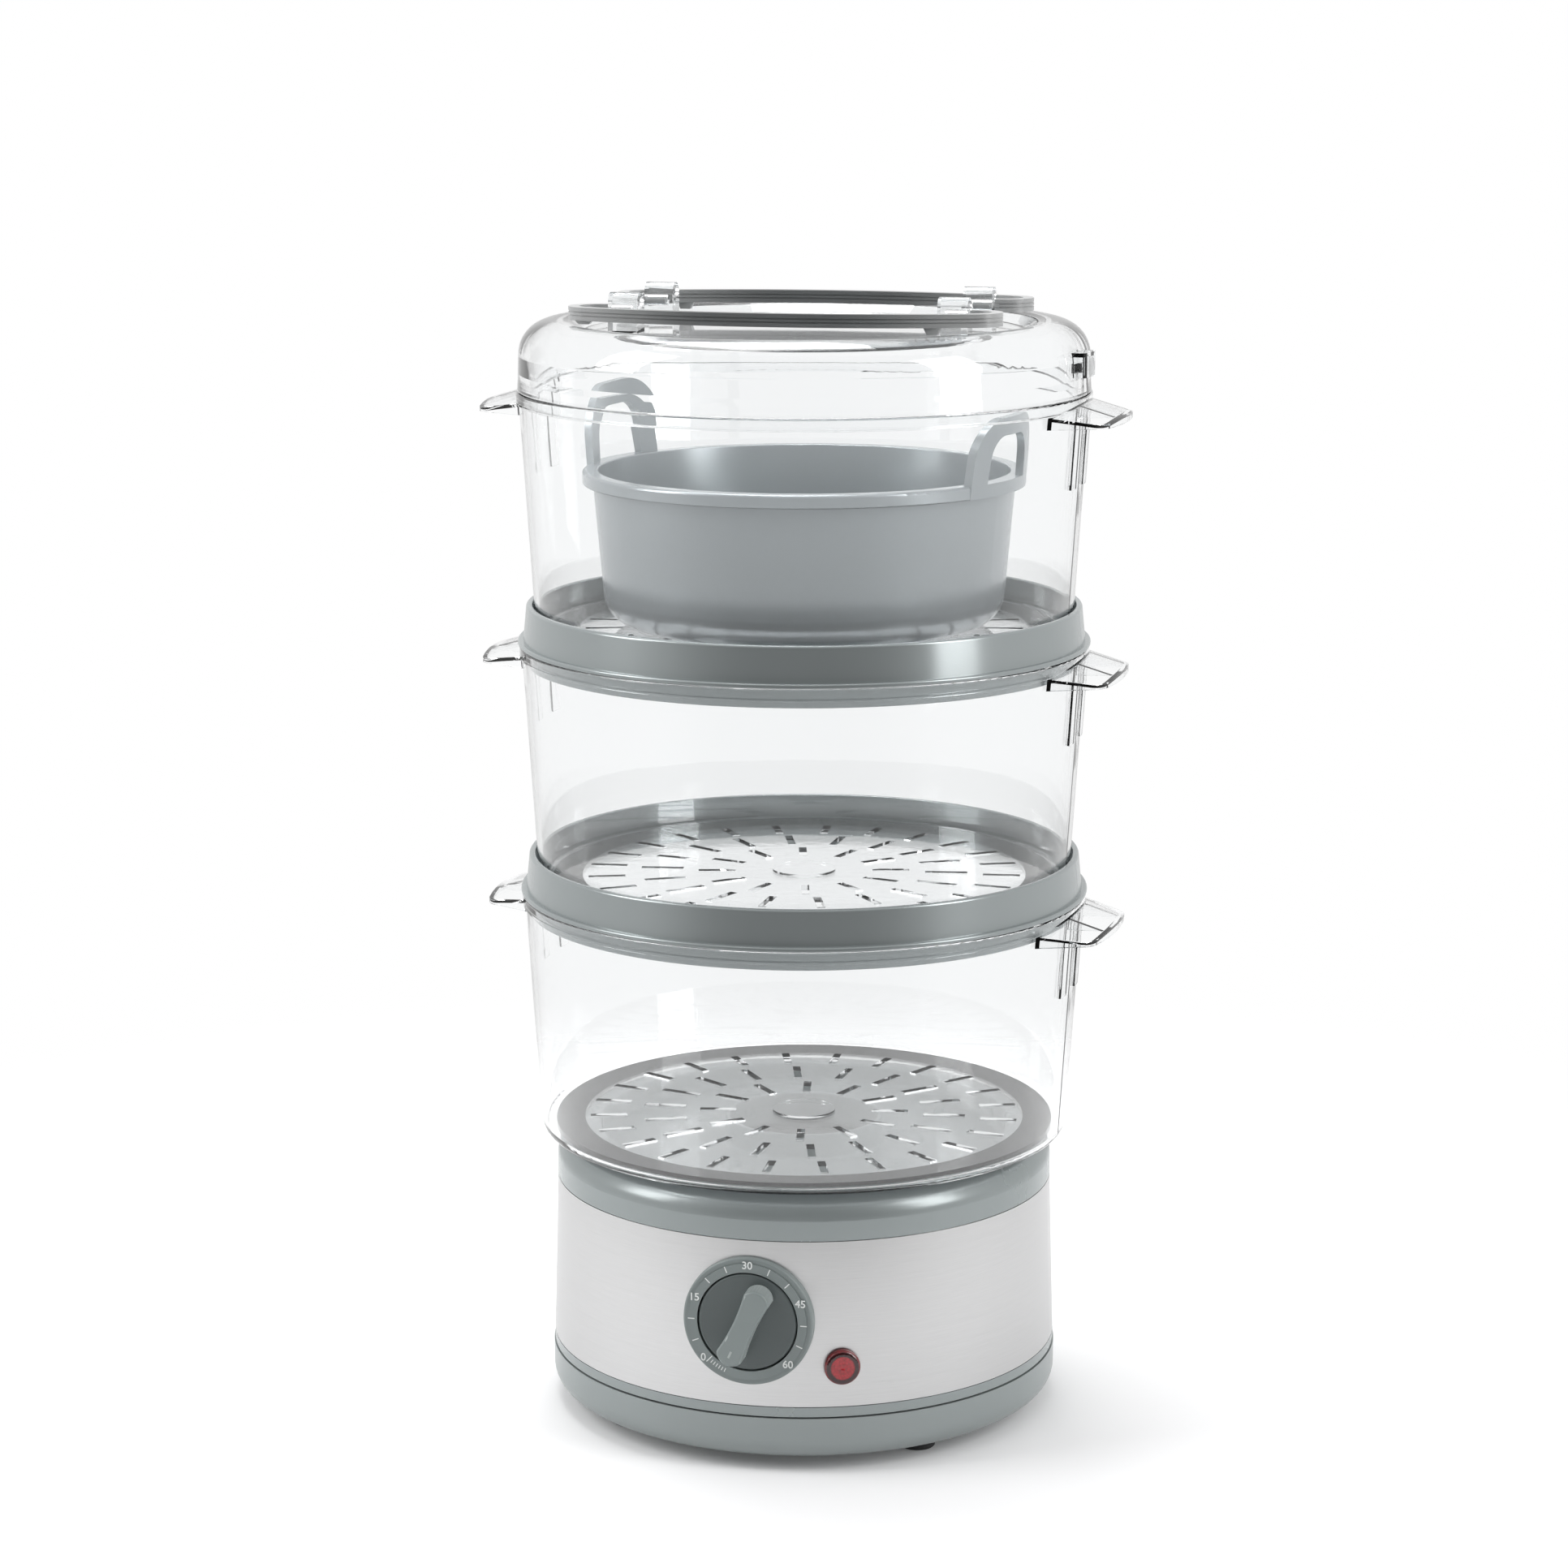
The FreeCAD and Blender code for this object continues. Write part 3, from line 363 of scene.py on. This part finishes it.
def plasticMaterial(name, spec):
    material, tree, surface = startMaterial(name)
    skin = placeGroup(
        tree, mouldedSkin, (-500, 0),
        Colour=(*spec["colour"], 1), Cloud=spec["cloud"], Rough=spec["rough"],
        Rough_Spread=spec["spread"], Skin_Scale=spec["skinScale"],
    )
    dust = placeGroup(tree, settledDust, (-200, 100), Amount=spec["dust"])
    link = tree.links.new
    if "rim" in spec:
        # painted highlight: paler where the moulding turns over an edge, standing in for light
        # caught on the rounded edges
        geometry = addNode(tree, "ShaderNodeNewGeometry", (-1100, 200))
        edgeHighlight = addNode(tree, "ShaderNodeMapRange", (-900, 200))
        edgeHighlight.inputs["From Min"].default_value = spec["rimFrom"]
        edgeHighlight.inputs["From Max"].default_value = spec["rimTo"]
        link(geometry.outputs["Pointiness"], edgeHighlight.inputs["Value"])
        tintBy(tree, edgeHighlight.outputs["Result"], skin, spec, "rim")
    # painted reflection: the part turns paler towards its left and right ends, standing in for
    # light reflected there
    if "ends" in spec:
        ends = placeGroup(tree, endsMask, (-900, 200), From=spec["endsFrom"], To=spec["endsTo"])
        tintBy(tree, ends.outputs["Mask"], skin, spec, "ends")
    link(skin.outputs["Colour"], dust.inputs["Colour"])
    link(dust.outputs["Colour"], surface.inputs["Base Color"])
    link(skin.outputs["Roughness"], surface.inputs["Roughness"])
    addBump(tree, surface, skin.outputs["Height"], spec["bump"], spec["depth"])
    surface.inputs["IOR"].default_value = 1.5
    surface.inputs["Metallic"].default_value = spec.get("metallic", 0.0)
    surface.inputs["Coat Weight"].default_value = spec.get("coat", 0.0)
    surface.inputs["Coat Roughness"].default_value = 0.05
    return material


def metalMaterial(name, spec):
    material, tree, surface = startMaterial(name)
    brush = placeGroup(
        tree, brushedRound, (-500, 0),
        Colour=(*spec["colour"], 1), Streak=spec["streak"], Rough=spec["rough"],
        Rough_Spread=spec["spread"], Fine=spec["fine"],
    )
    link = tree.links.new
    link(brush.outputs["Colour"], surface.inputs["Base Color"])
    link(brush.outputs["Roughness"], surface.inputs["Roughness"])
    surface.inputs["Metallic"].default_value = spec.get("metallic", 1.0)
    surface.inputs["Anisotropic"].default_value = spec.get("aniso", 0.0)
    addBump(tree, surface, brush.outputs["Height"], spec["bump"], spec["depth"])
    return material


def clearMaterial(name, spec):
    # Clear moulding: real refraction, but it lets lamps light what stands inside it
    material, tree, surface = startMaterial(name)
    skin = placeGroup(
        tree, mouldedSkin, (-500, 0),
        Colour=(*spec["colour"], 1), Cloud=spec["cloud"], Rough=spec["rough"],
        Rough_Spread=spec["spread"], Skin_Scale=spec["skinScale"],
    )
    link = tree.links.new
    link(skin.outputs["Colour"], surface.inputs["Base Color"])
    link(skin.outputs["Roughness"], surface.inputs["Roughness"])
    addBump(tree, surface, skin.outputs["Height"], spec["bump"], spec["depth"])
    surface.inputs["Transmission Weight"].default_value = 1.0
    surface.inputs["IOR"].default_value = spec["ior"]
    path = addNode(tree, "ShaderNodeLightPath", (100, 400))
    passLight = addNode(tree, "ShaderNodeMath", (300, 300), operation="MULTIPLY")
    passLight.inputs[1].default_value = spec["passLight"]
    soft = addNode(tree, "ShaderNodeMath", (200, 350), operation="MAXIMUM")
    see = addNode(tree, "ShaderNodeBsdfTransparent", (350, -500))
    see.inputs["Color"].default_value = (*spec["shadow"], 1)
    mix = addNode(tree, "ShaderNodeMixShader", (550, 0))
    link(path.outputs["Is Shadow Ray"], soft.inputs[0])
    link(path.outputs["Is Diffuse Ray"], soft.inputs[1])
    link(soft.outputs[0], passLight.inputs[0])
    link(passLight.outputs[0], mix.inputs["Fac"])
    link(surface.outputs[0], mix.inputs[1])
    link(see.outputs[0], mix.inputs[2])
    link(mix.outputs[0], tree.nodes["Material Output"].inputs["Surface"])
    return material


def lampMaterial(name, spec):
    # Red lens: a bright faceted middle, a dark ring and a red edge round the lens's axis
    material, tree, surface = startMaterial(name)
    turn = math.radians(spec["turn"])
    ring = placeGroup(tree, axisDistance, (-1100, 0), Centre=spec["centre"],
                      Axis=(math.sin(turn), -math.cos(turn), 0))
    reach = 1.2 * spec["rings"][-1]
    part = addNode(tree, "ShaderNodeMath", (-850, 0), operation="DIVIDE")
    part.inputs[1].default_value = reach
    ramp = addNode(tree, "ShaderNodeValToRGB", (-650, 0))
    stops = ramp.color_ramp.elements
    stops[0].position = 0.0
    stops[0].color = (*spec["colour"], 1)
    stops[1].position = spec["rings"][3] / reach
    stops[1].color = (*spec["edge"], 1)
    for radius, colour in zip(spec["rings"][:3], ("colour", "deep", "deep")):
        stops.new(radius / reach).color = (*spec[colour], 1)
    coords = addNode(tree, "ShaderNodeTexCoord", (-1100, -300))
    facets = addNode(tree, "ShaderNodeTexVoronoi", (-850, -300))
    facets.inputs["Scale"].default_value = spec["facets"]
    gleam = addNode(tree, "ShaderNodeMapRange", (-650, -300))
    gleam.inputs["To Min"].default_value = spec["gleam"]
    gleam.inputs["To Max"].default_value = spec["shade"]
    tint = addNode(tree, "ShaderNodeVectorMath", (-250, 0), operation="SCALE")
    link = tree.links.new
    link(ring.outputs["Distance"], part.inputs[0])
    link(part.outputs[0], ramp.inputs["Fac"])
    link(coords.outputs["Object"], facets.inputs["Vector"])
    link(facets.outputs["Distance"], gleam.inputs["Value"])
    link(ramp.outputs["Color"], tint.inputs[0])
    link(gleam.outputs["Result"], tint.inputs["Scale"])
    link(tint.outputs[0], surface.inputs["Base Color"])
    surface.inputs["Roughness"].default_value = spec["rough"]
    surface.inputs["Transmission Weight"].default_value = spec["through"]
    surface.inputs["IOR"].default_value = spec["ior"]
    surface.inputs["Coat Weight"].default_value = spec["coat"]
    addBump(tree, surface, facets.outputs["Distance"], spec["bump"], spec["depth"])
    return material


# Finishes, linear colours
finishes = {
    "collarGrey": dict(kind="plastic", colour=(0.320, 0.350, 0.352), cloud=0.05, rough=0.20,
                       spread=0.06, skinScale=1400, bump=0.04, depth=0.0002, dust=0.02,
                       metallic=0.45),
    "baseGrey": dict(kind="plastic", colour=(0.275, 0.305, 0.305), cloud=0.06, rough=0.26,
                     spread=0.08, skinScale=1600, bump=0.08, depth=0.0002, dust=0.03,
                     metallic=0.35),
    "panGrey": dict(kind="plastic", colour=(0.270, 0.298, 0.298), cloud=0.06, rough=0.30,
                    spread=0.08, skinScale=1600, bump=0.10, depth=0.0002, dust=0.02,
                    metallic=0.30),
    "bowlGrey": dict(kind="plastic", colour=(0.385, 0.412, 0.424), cloud=0.04, rough=0.24,
                     spread=0.05, skinScale=1300, bump=0.05, depth=0.0002, dust=0.02,
                     metallic=0.45),
    "trayGrey": dict(kind="plastic", colour=(0.300, 0.330, 0.330), cloud=0.05, rough=0.28,
                     spread=0.06, skinScale=1300, bump=0.06, depth=0.0002, dust=0.02),
    # handleGrey's paler ends are a painted reflection on the lid handles
    "handleGrey": dict(kind="plastic", colour=(0.120, 0.126, 0.127), cloud=0.07, rough=0.30,
                       spread=0.08, skinScale=1700, bump=0.10, depth=0.0002, dust=0.04,
                       ends=(0.420, 0.425, 0.425), endsFrom=0.020, endsTo=0.088),
    "dialGrey": dict(kind="plastic", colour=(0.200, 0.230, 0.228), cloud=0.05, rough=0.36,
                     spread=0.08, skinScale=2600, bump=0.15, depth=0.0002, dust=0.03),
    "knobGrey": dict(kind="plastic", colour=(0.085, 0.102, 0.102), cloud=0.08, rough=0.38,
                     spread=0.08, skinScale=2600, bump=0.18, depth=0.0002, dust=0.04),
    # gripGrey's rim colour is a painted highlight on the grip's rounded edges
    "gripGrey": dict(kind="plastic", colour=(0.215, 0.248, 0.245), cloud=0.06, rough=0.34,
                     spread=0.08, skinScale=2600, bump=0.15, depth=0.0002, dust=0.04,
                     rim=(0.42, 0.455, 0.45), rimFrom=0.53, rimTo=0.60),
    "edgePale": dict(kind="plastic", colour=(0.400, 0.435, 0.430), cloud=0.06, rough=0.30,
                     spread=0.06, skinScale=2600, bump=0.05, depth=0.0001, dust=0.0),
    "footRubber": dict(kind="plastic", colour=(0.018, 0.019, 0.020), cloud=0.2, rough=0.6,
                       spread=0.2, skinScale=1200, bump=0.3, depth=0.0003, dust=0.12),
    "grommetRubber": dict(kind="plastic", colour=(0.02, 0.02, 0.021), cloud=0.2, rough=0.55,
                          spread=0.2, skinScale=1500, bump=0.3, depth=0.0003, dust=0.1),
    "sealSilicone": dict(kind="plastic", colour=(0.42, 0.13, 0.09), cloud=0.1, rough=0.5,
                         spread=0.1, skinScale=1500, bump=0.2, depth=0.0002, dust=0.05),
    "caseIvory": dict(kind="plastic", colour=(0.55, 0.52, 0.43), cloud=0.1, rough=0.5,
                      spread=0.1, skinScale=1200, bump=0.2, depth=0.0002, dust=0.08),
    "caseBlack": dict(kind="plastic", colour=(0.02, 0.02, 0.02), cloud=0.2, rough=0.45,
                      spread=0.1, skinScale=1200, bump=0.2, depth=0.0002, dust=0.08),
    "markWhite": dict(kind="plastic", colour=(0.74, 0.76, 0.75), cloud=0.12, rough=0.5,
                      spread=0.1, skinScale=3000, bump=0.1, depth=0.0001, dust=0.0),
    "bandSteel": dict(kind="metal", colour=(0.56, 0.56, 0.56), streak=0.22, rough=0.36,
                      spread=0.30, fine=5200, bump=0.06, depth=0.0001, aniso=0.55),
    "plainSteel": dict(kind="metal", colour=(0.62, 0.62, 0.60), streak=0.15, rough=0.35,
                       spread=0.3, fine=3000, bump=0.08, depth=0.0001),
    "bellChrome": dict(kind="metal", colour=(0.75, 0.75, 0.75), streak=0.04, rough=0.12,
                       spread=0.05, fine=1500, bump=0.02, depth=0.0001),
    "heaterCast": dict(kind="metal", colour=(0.55, 0.55, 0.54), streak=0.2, rough=0.42,
                       spread=0.3, fine=2000, bump=0.2, depth=0.0002),
    "clearWall": dict(kind="clear", colour=(0.965, 0.972, 0.975), cloud=0.01, rough=0.012,
                      spread=0.01, skinScale=60, bump=0.02, depth=0.0004, ior=1.50,
                      passLight=0.92, shadow=(0.93, 0.935, 0.94)),
    "clearFloor": dict(kind="clear", colour=(0.945, 0.952, 0.956), cloud=0.01, rough=0.05,
                       spread=0.03, skinScale=200, bump=0.05, depth=0.0004, ior=1.50,
                       passLight=0.9, shadow=(0.90, 0.905, 0.91)),
    "clearLid": dict(kind="clear", colour=(0.965, 0.972, 0.975), cloud=0.01, rough=0.012,
                     spread=0.01, skinScale=60, bump=0.02, depth=0.0004, ior=1.50,
                     passLight=0.92, shadow=(0.93, 0.935, 0.94)),
    "lampRed": dict(kind="lamp", colour=(0.40, 0.006, 0.014), deep=(0.030, 0.001, 0.002),
                    edge=(0.20, 0.004, 0.009), rough=0.10, through=0.12, facets=1100,
                    gleam=1.25, shade=0.55, ior=1.49, coat=0.5, bump=0.2, depth=0.0003,
                    centre=(0.0336, -0.0899, 0.0414), turn=20.5,
                    rings=(0.0041, 0.0046, 0.0058, 0.0062)),
    "neonGlass": dict(kind="plastic", colour=(0.70, 0.22, 0.10), cloud=0.1, rough=0.1,
                      spread=0.04, skinScale=900, bump=0.02, depth=0.0001, dust=0.0, coat=0.6),
}

builders = {"plastic": plasticMaterial, "metal": metalMaterial, "clear": clearMaterial,
            "lamp": lampMaterial}
materials = {name: builders[spec["kind"]](name, spec) for name, spec in finishes.items()}

nodeFinish = {
    "feet": "footRubber", "base_pan": "panGrey", "base_screws": "plainSteel",
    "cord_grommet": "grommetRubber", "housing": "baseGrey", "steel_band": "bandSteel",
    "dial_ring": "dialGrey", "timer_knob": "knobGrey", "knob_grip": "gripGrey",
    "timer_shaft": "plainSteel", "timer": "caseIvory", "timer_bell": "bellChrome",
    "lamp_lens": "lampRed", "neon_lamp": "neonGlass", "heater_plate": "heaterCast",
    "heater_seal": "sealSilicone", "heater_clamp": "plainSteel", "thermostat": "caseBlack",
    "thermal_fuse": "plainSteel", "steam_ring": "trayGrey", "drip_tray": "trayGrey",
    "basket_1": "clearWall", "basket_2": "clearWall", "basket_3": "clearWall",
    "basket_floor_1": "clearFloor", "basket_floor_2": "clearFloor",
    "basket_floor_3": "clearFloor", "collar_1": "collarGrey", "collar_2": "collarGrey",
    "rice_bowl": "bowlGrey", "lid": "clearLid", "lid_handle_front": "handleGrey",
    "lid_handle_back": "handleGrey",
}

for name, obj in nodes.items():
    material = materials[nodeFinish[name]]
    for slot in obj.material_slots:
        slot.link = "OBJECT"
        slot.material = material
    if not obj.material_slots:
        obj.data.materials.append(material)
print("finishes set on", len(nodes), "nodes")


# The dial's printed scale and the knob's pointer
dial = {
    "centre": (0.0, 0.0582),
    "innerTick": 0.0197,
    "outerTick": 0.0222,
    "numberRadius": 0.0214,
    "numberHeight": 0.0029,
    "tickWidth": 0.00040,
    "lift": 0.00006,          # ink stands this far off the ring
    "zero": 225.0,            # degrees clockwise from the top, seen from the front
    "step": 22.5,
    "numbers": {0: "0", 3: "15", 6: "30", 9: "45", 12: "60"},
    "count": 13,
    "fontShare": 1.38,        # the font's size for a number of a given height
    "fontThick": 0.00002,
    "fontBold": 0.00006,
    "hatch": (223.0, 204.0, 7),
    "hatchFrom": 0.0002,      # the short marks start and end this far past innerTick
    "hatchTo": 0.0017,
    "hatchWidth": 0.8,        # of a tick's width
    "zeroTick": (-1.5, 0.0006),    # the long tick by the 0: degrees, and how much longer
    "zeroShift": (3.5, 0.0006),    # the 0 stands aside of it: degrees, and further out
    "inkThick": 0.00004,
}

pointer = {"turn": 205.0, "from": 0.0095, "to": 0.0122, "width": 0.0008}


def dialPoint(radius, degrees):
    a = math.radians(degrees)
    return (dial["centre"][0] + radius * math.sin(a), dial["centre"][1] + radius * math.cos(a))


def quadMesh(name, quads, front):
    verts, faces = [], []
    for quad in quads:
        start = len(verts)
        verts += [(x, front, z) for x, z in quad]
        faces.append(tuple(range(start, start + len(quad))))
    mesh = bpy.data.meshes.new(name)
    mesh.from_pydata(verts, [], faces)
    mesh.update()
    obj = bpy.data.objects.new(name, mesh)
    bpy.context.scene.collection.objects.link(obj)
    solid = obj.modifiers.new("ink", "SOLIDIFY")
    solid.thickness = dial["inkThick"]
    solid.offset = 0
    return obj


def radialQuad(inner, outer, degrees, width):
    a = math.radians(degrees)
    side = (math.cos(a) * width / 2, -math.sin(a) * width / 2)
    low, high = dialPoint(inner, degrees), dialPoint(outer, degrees)
    return [(low[0] - side[0], low[1] - side[1]), (low[0] + side[0], low[1] + side[1]),
            (high[0] + side[0], high[1] + side[1]), (high[0] - side[0], high[1] - side[1])]


def makeDialMarks():
    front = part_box("dial_ring")[0][1] - dial["lift"]
    inner, outer, width = dial["innerTick"], dial["outerTick"], dial["tickWidth"]
    quads = []
    for i in range(dial["count"]):
        if i not in dial["numbers"]:
            quads.append(radialQuad(inner, outer, dial["zero"] + i * dial["step"], width))
    aside, longer = dial["zeroTick"]
    quads.append(radialQuad(inner - longer, outer, dial["zero"] + aside, width))
    first, last, count = dial["hatch"]
    for i in range(1, count):
        turn = first + (last - first) * i / (count - 1)
        quads.append(radialQuad(inner + dial["hatchFrom"], inner + dial["hatchTo"], turn,
                                width * dial["hatchWidth"]))
    marks = quadMesh("dialTicks", quads, front)
    marks.data.materials.append(materials["markWhite"])
    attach(marks, "base")
    for i, text in dial["numbers"].items():
        aside, further = (0.0, 0.0) if i else dial["zeroShift"]
        curve = bpy.data.curves.new("dialNumber" + text, "FONT")
        curve.body = text
        curve.size = dial["numberHeight"] * dial["fontShare"]
        curve.align_x = "CENTER"
        curve.align_y = "CENTER"
        curve.extrude = dial["fontThick"]
        curve.offset = dial["fontBold"]
        x, z = dialPoint(dial["numberRadius"] + further, dial["zero"] + i * dial["step"] + aside)
        obj = bpy.data.objects.new("dialNumber" + text, curve)
        obj.location = (x, front, z)
        obj.rotation_euler = (math.radians(90), 0, 0)
        bpy.context.scene.collection.objects.link(obj)
        curve.materials.append(materials["markWhite"])
        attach(obj, "base")


def makePointer():
    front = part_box("knob_grip")[0][1] - dial["lift"]
    mark = quadMesh("gripPointer", [radialQuad(pointer["from"], pointer["to"], pointer["turn"],
                                               pointer["width"])], front)
    mark.data.materials.append(materials["edgePale"])
    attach(mark, "timer_knob")


makeDialMarks()
makePointer()
print("dial marks made")


def makeFloor(spec):
    material = bpy.data.materials.new("studioFloor")
    material.use_nodes = True
    tree = material.node_tree
    tree.nodes.clear()
    link = tree.links.new
    out = addNode(tree, "ShaderNodeOutputMaterial", (900, 0))
    coords = addNode(tree, "ShaderNodeTexCoord", (-900, 0))
    length = addNode(tree, "ShaderNodeVectorMath", (-700, 0), operation="LENGTH")
    fade = addNode(tree, "ShaderNodeMapRange", (-500, 0), interpolation_type="SMOOTHSTEP")
    fade.inputs["From Min"].default_value = spec["floorFade"][0]
    fade.inputs["From Max"].default_value = spec["floorFade"][1]
    white = addNode(tree, "ShaderNodeBsdfDiffuse", (-200, 150))
    white.inputs["Color"].default_value = (*spec["floorColour"], 1)
    lift = addNode(tree, "ShaderNodeEmission", (-200, -50))
    path = addNode(tree, "ShaderNodeLightPath", (-700, -250))
    seen = addNode(tree, "ShaderNodeMath", (-500, -250), operation="MAXIMUM")
    seenToo = addNode(tree, "ShaderNodeMath", (-350, -250), operation="MAXIMUM")
    strength = addNode(tree, "ShaderNodeMath", (-200, -250), operation="MULTIPLY")
    strength.inputs[1].default_value = spec["floorLift"]
    both = addNode(tree, "ShaderNodeAddShader", (200, 100))
    clear = addNode(tree, "ShaderNodeBsdfTransparent", (200, -150))
    mix = addNode(tree, "ShaderNodeMixShader", (600, 0))
    link(coords.outputs["Object"], length.inputs[0])
    link(length.outputs["Value"], fade.inputs["Value"])
    link(path.outputs["Is Camera Ray"], seen.inputs[0])
    link(path.outputs["Is Glossy Ray"], seen.inputs[1])
    link(seen.outputs[0], seenToo.inputs[0])
    link(path.outputs["Is Transmission Ray"], seenToo.inputs[1])
    link(seenToo.outputs[0], strength.inputs[0])
    link(strength.outputs[0], lift.inputs["Strength"])
    link(white.outputs[0], both.inputs[0])
    link(lift.outputs[0], both.inputs[1])
    link(fade.outputs["Result"], mix.inputs["Fac"])
    link(both.outputs[0], mix.inputs[1])
    link(clear.outputs[0], mix.inputs[2])
    link(mix.outputs[0], out.inputs["Surface"])
    half = spec["floorSize"] / 2
    mesh = bpy.data.meshes.new("studioFloor")
    mesh.from_pydata([(-half, -half, 0), (half, -half, 0), (half, half, 0), (-half, half, 0)], [],
                     [(0, 1, 2, 3)])
    mesh.materials.append(material)
    floor = bpy.data.objects.new("studioFloor", mesh)
    bpy.context.scene.collection.objects.link(floor)


def makeWorld(spec):
    world = bpy.data.worlds.new("studioWorld")
    bpy.context.scene.world = world
    world.use_nodes = True
    tree = world.node_tree
    tree.nodes.clear()
    link = tree.links.new
    out = addNode(tree, "ShaderNodeOutputWorld", (800, 0))
    background = addNode(tree, "ShaderNodeBackground", (600, 0))
    background.inputs["Color"].default_value = (1, 1, 1, 1)
    coords = addNode(tree, "ShaderNodeTexCoord", (-900, 0))
    # The room is darker on the dial's side than at the sides and behind
    facing = addNode(tree, "ShaderNodeVectorMath", (-700, 0), operation="DOT_PRODUCT")
    heading = math.radians(camera["heading"])
    facing.inputs[1].default_value = (math.sin(heading), -math.cos(heading), 0)
    path = addNode(tree, "ShaderNodeLightPath", (-500, -300))
    seen = addNode(tree, "ShaderNodeMath", (-300, -300), operation="MAXIMUM")
    room = addNode(tree, "ShaderNodeMix", (-100, 0), data_type="FLOAT")
    final = addNode(tree, "ShaderNodeMix", (200, 0), data_type="FLOAT")
    final.inputs["B"].default_value = 1.0
    link(coords.outputs["Generated"], facing.inputs[0])
    for socket, side, front, row in (("A", "mattSide", "mattFront", 150),
                                     ("B", "shinySide", "shinyFront", -100)):
        glow = addNode(tree, "ShaderNodeMapRange", (-500, row), interpolation_type="SMOOTHSTEP")
        glow.inputs["From Min"].default_value = 0.35
        glow.inputs["From Max"].default_value = 0.97
        glow.inputs["To Min"].default_value = spec[side]
        glow.inputs["To Max"].default_value = spec[front]
        link(facing.outputs["Value"], glow.inputs["Value"])
        link(glow.outputs["Result"], room.inputs[socket])
    link(path.outputs["Is Glossy Ray"], room.inputs["Factor"])
    link(path.outputs["Is Camera Ray"], seen.inputs[0])
    link(path.outputs["Is Transmission Ray"], seen.inputs[1])
    link(seen.outputs[0], final.inputs["Factor"])
    link(room.outputs["Result"], final.inputs["A"])
    link(final.outputs["Result"], background.inputs["Strength"])
    link(background.outputs[0], out.inputs["Surface"])


lamps = {
    "leftSoftbox": dict(place=(-1.1, -0.5, 0.9), aim=(0, 0, 0.2), size=(0.5, 1.1), watts=10),
    "rightSoftbox": dict(place=(1.25, -0.35, 0.8), aim=(0, 0, 0.2), size=(0.5, 1.1), watts=10),
    "topSoftbox": dict(place=(-0.25, 0.35, 1.7), aim=(0, 0, 0.1), size=(0.8, 0.8), watts=15),
}


def makeLamp(name, spec):
    data = bpy.data.lights.new(name, "AREA")
    data.shape = "RECTANGLE"
    data.size, data.size_y = spec["size"]
    data.energy = spec["watts"]
    obj = bpy.data.objects.new(name, data)
    obj.location = spec["place"]
    aim = Vector(spec["aim"]) - Vector(spec["place"])
    obj.rotation_euler = aim.to_track_quat("-Z", "Y").to_euler()
    bpy.context.scene.collection.objects.link(obj)


makeCamera(camera)
makeFloor(studio)
makeWorld(studio)
for name, spec in lamps.items():
    makeLamp(name, spec)
bpy.context.scene.view_settings.view_transform = "Standard"
print("studio ready")

bpy.context.view_layer.update()
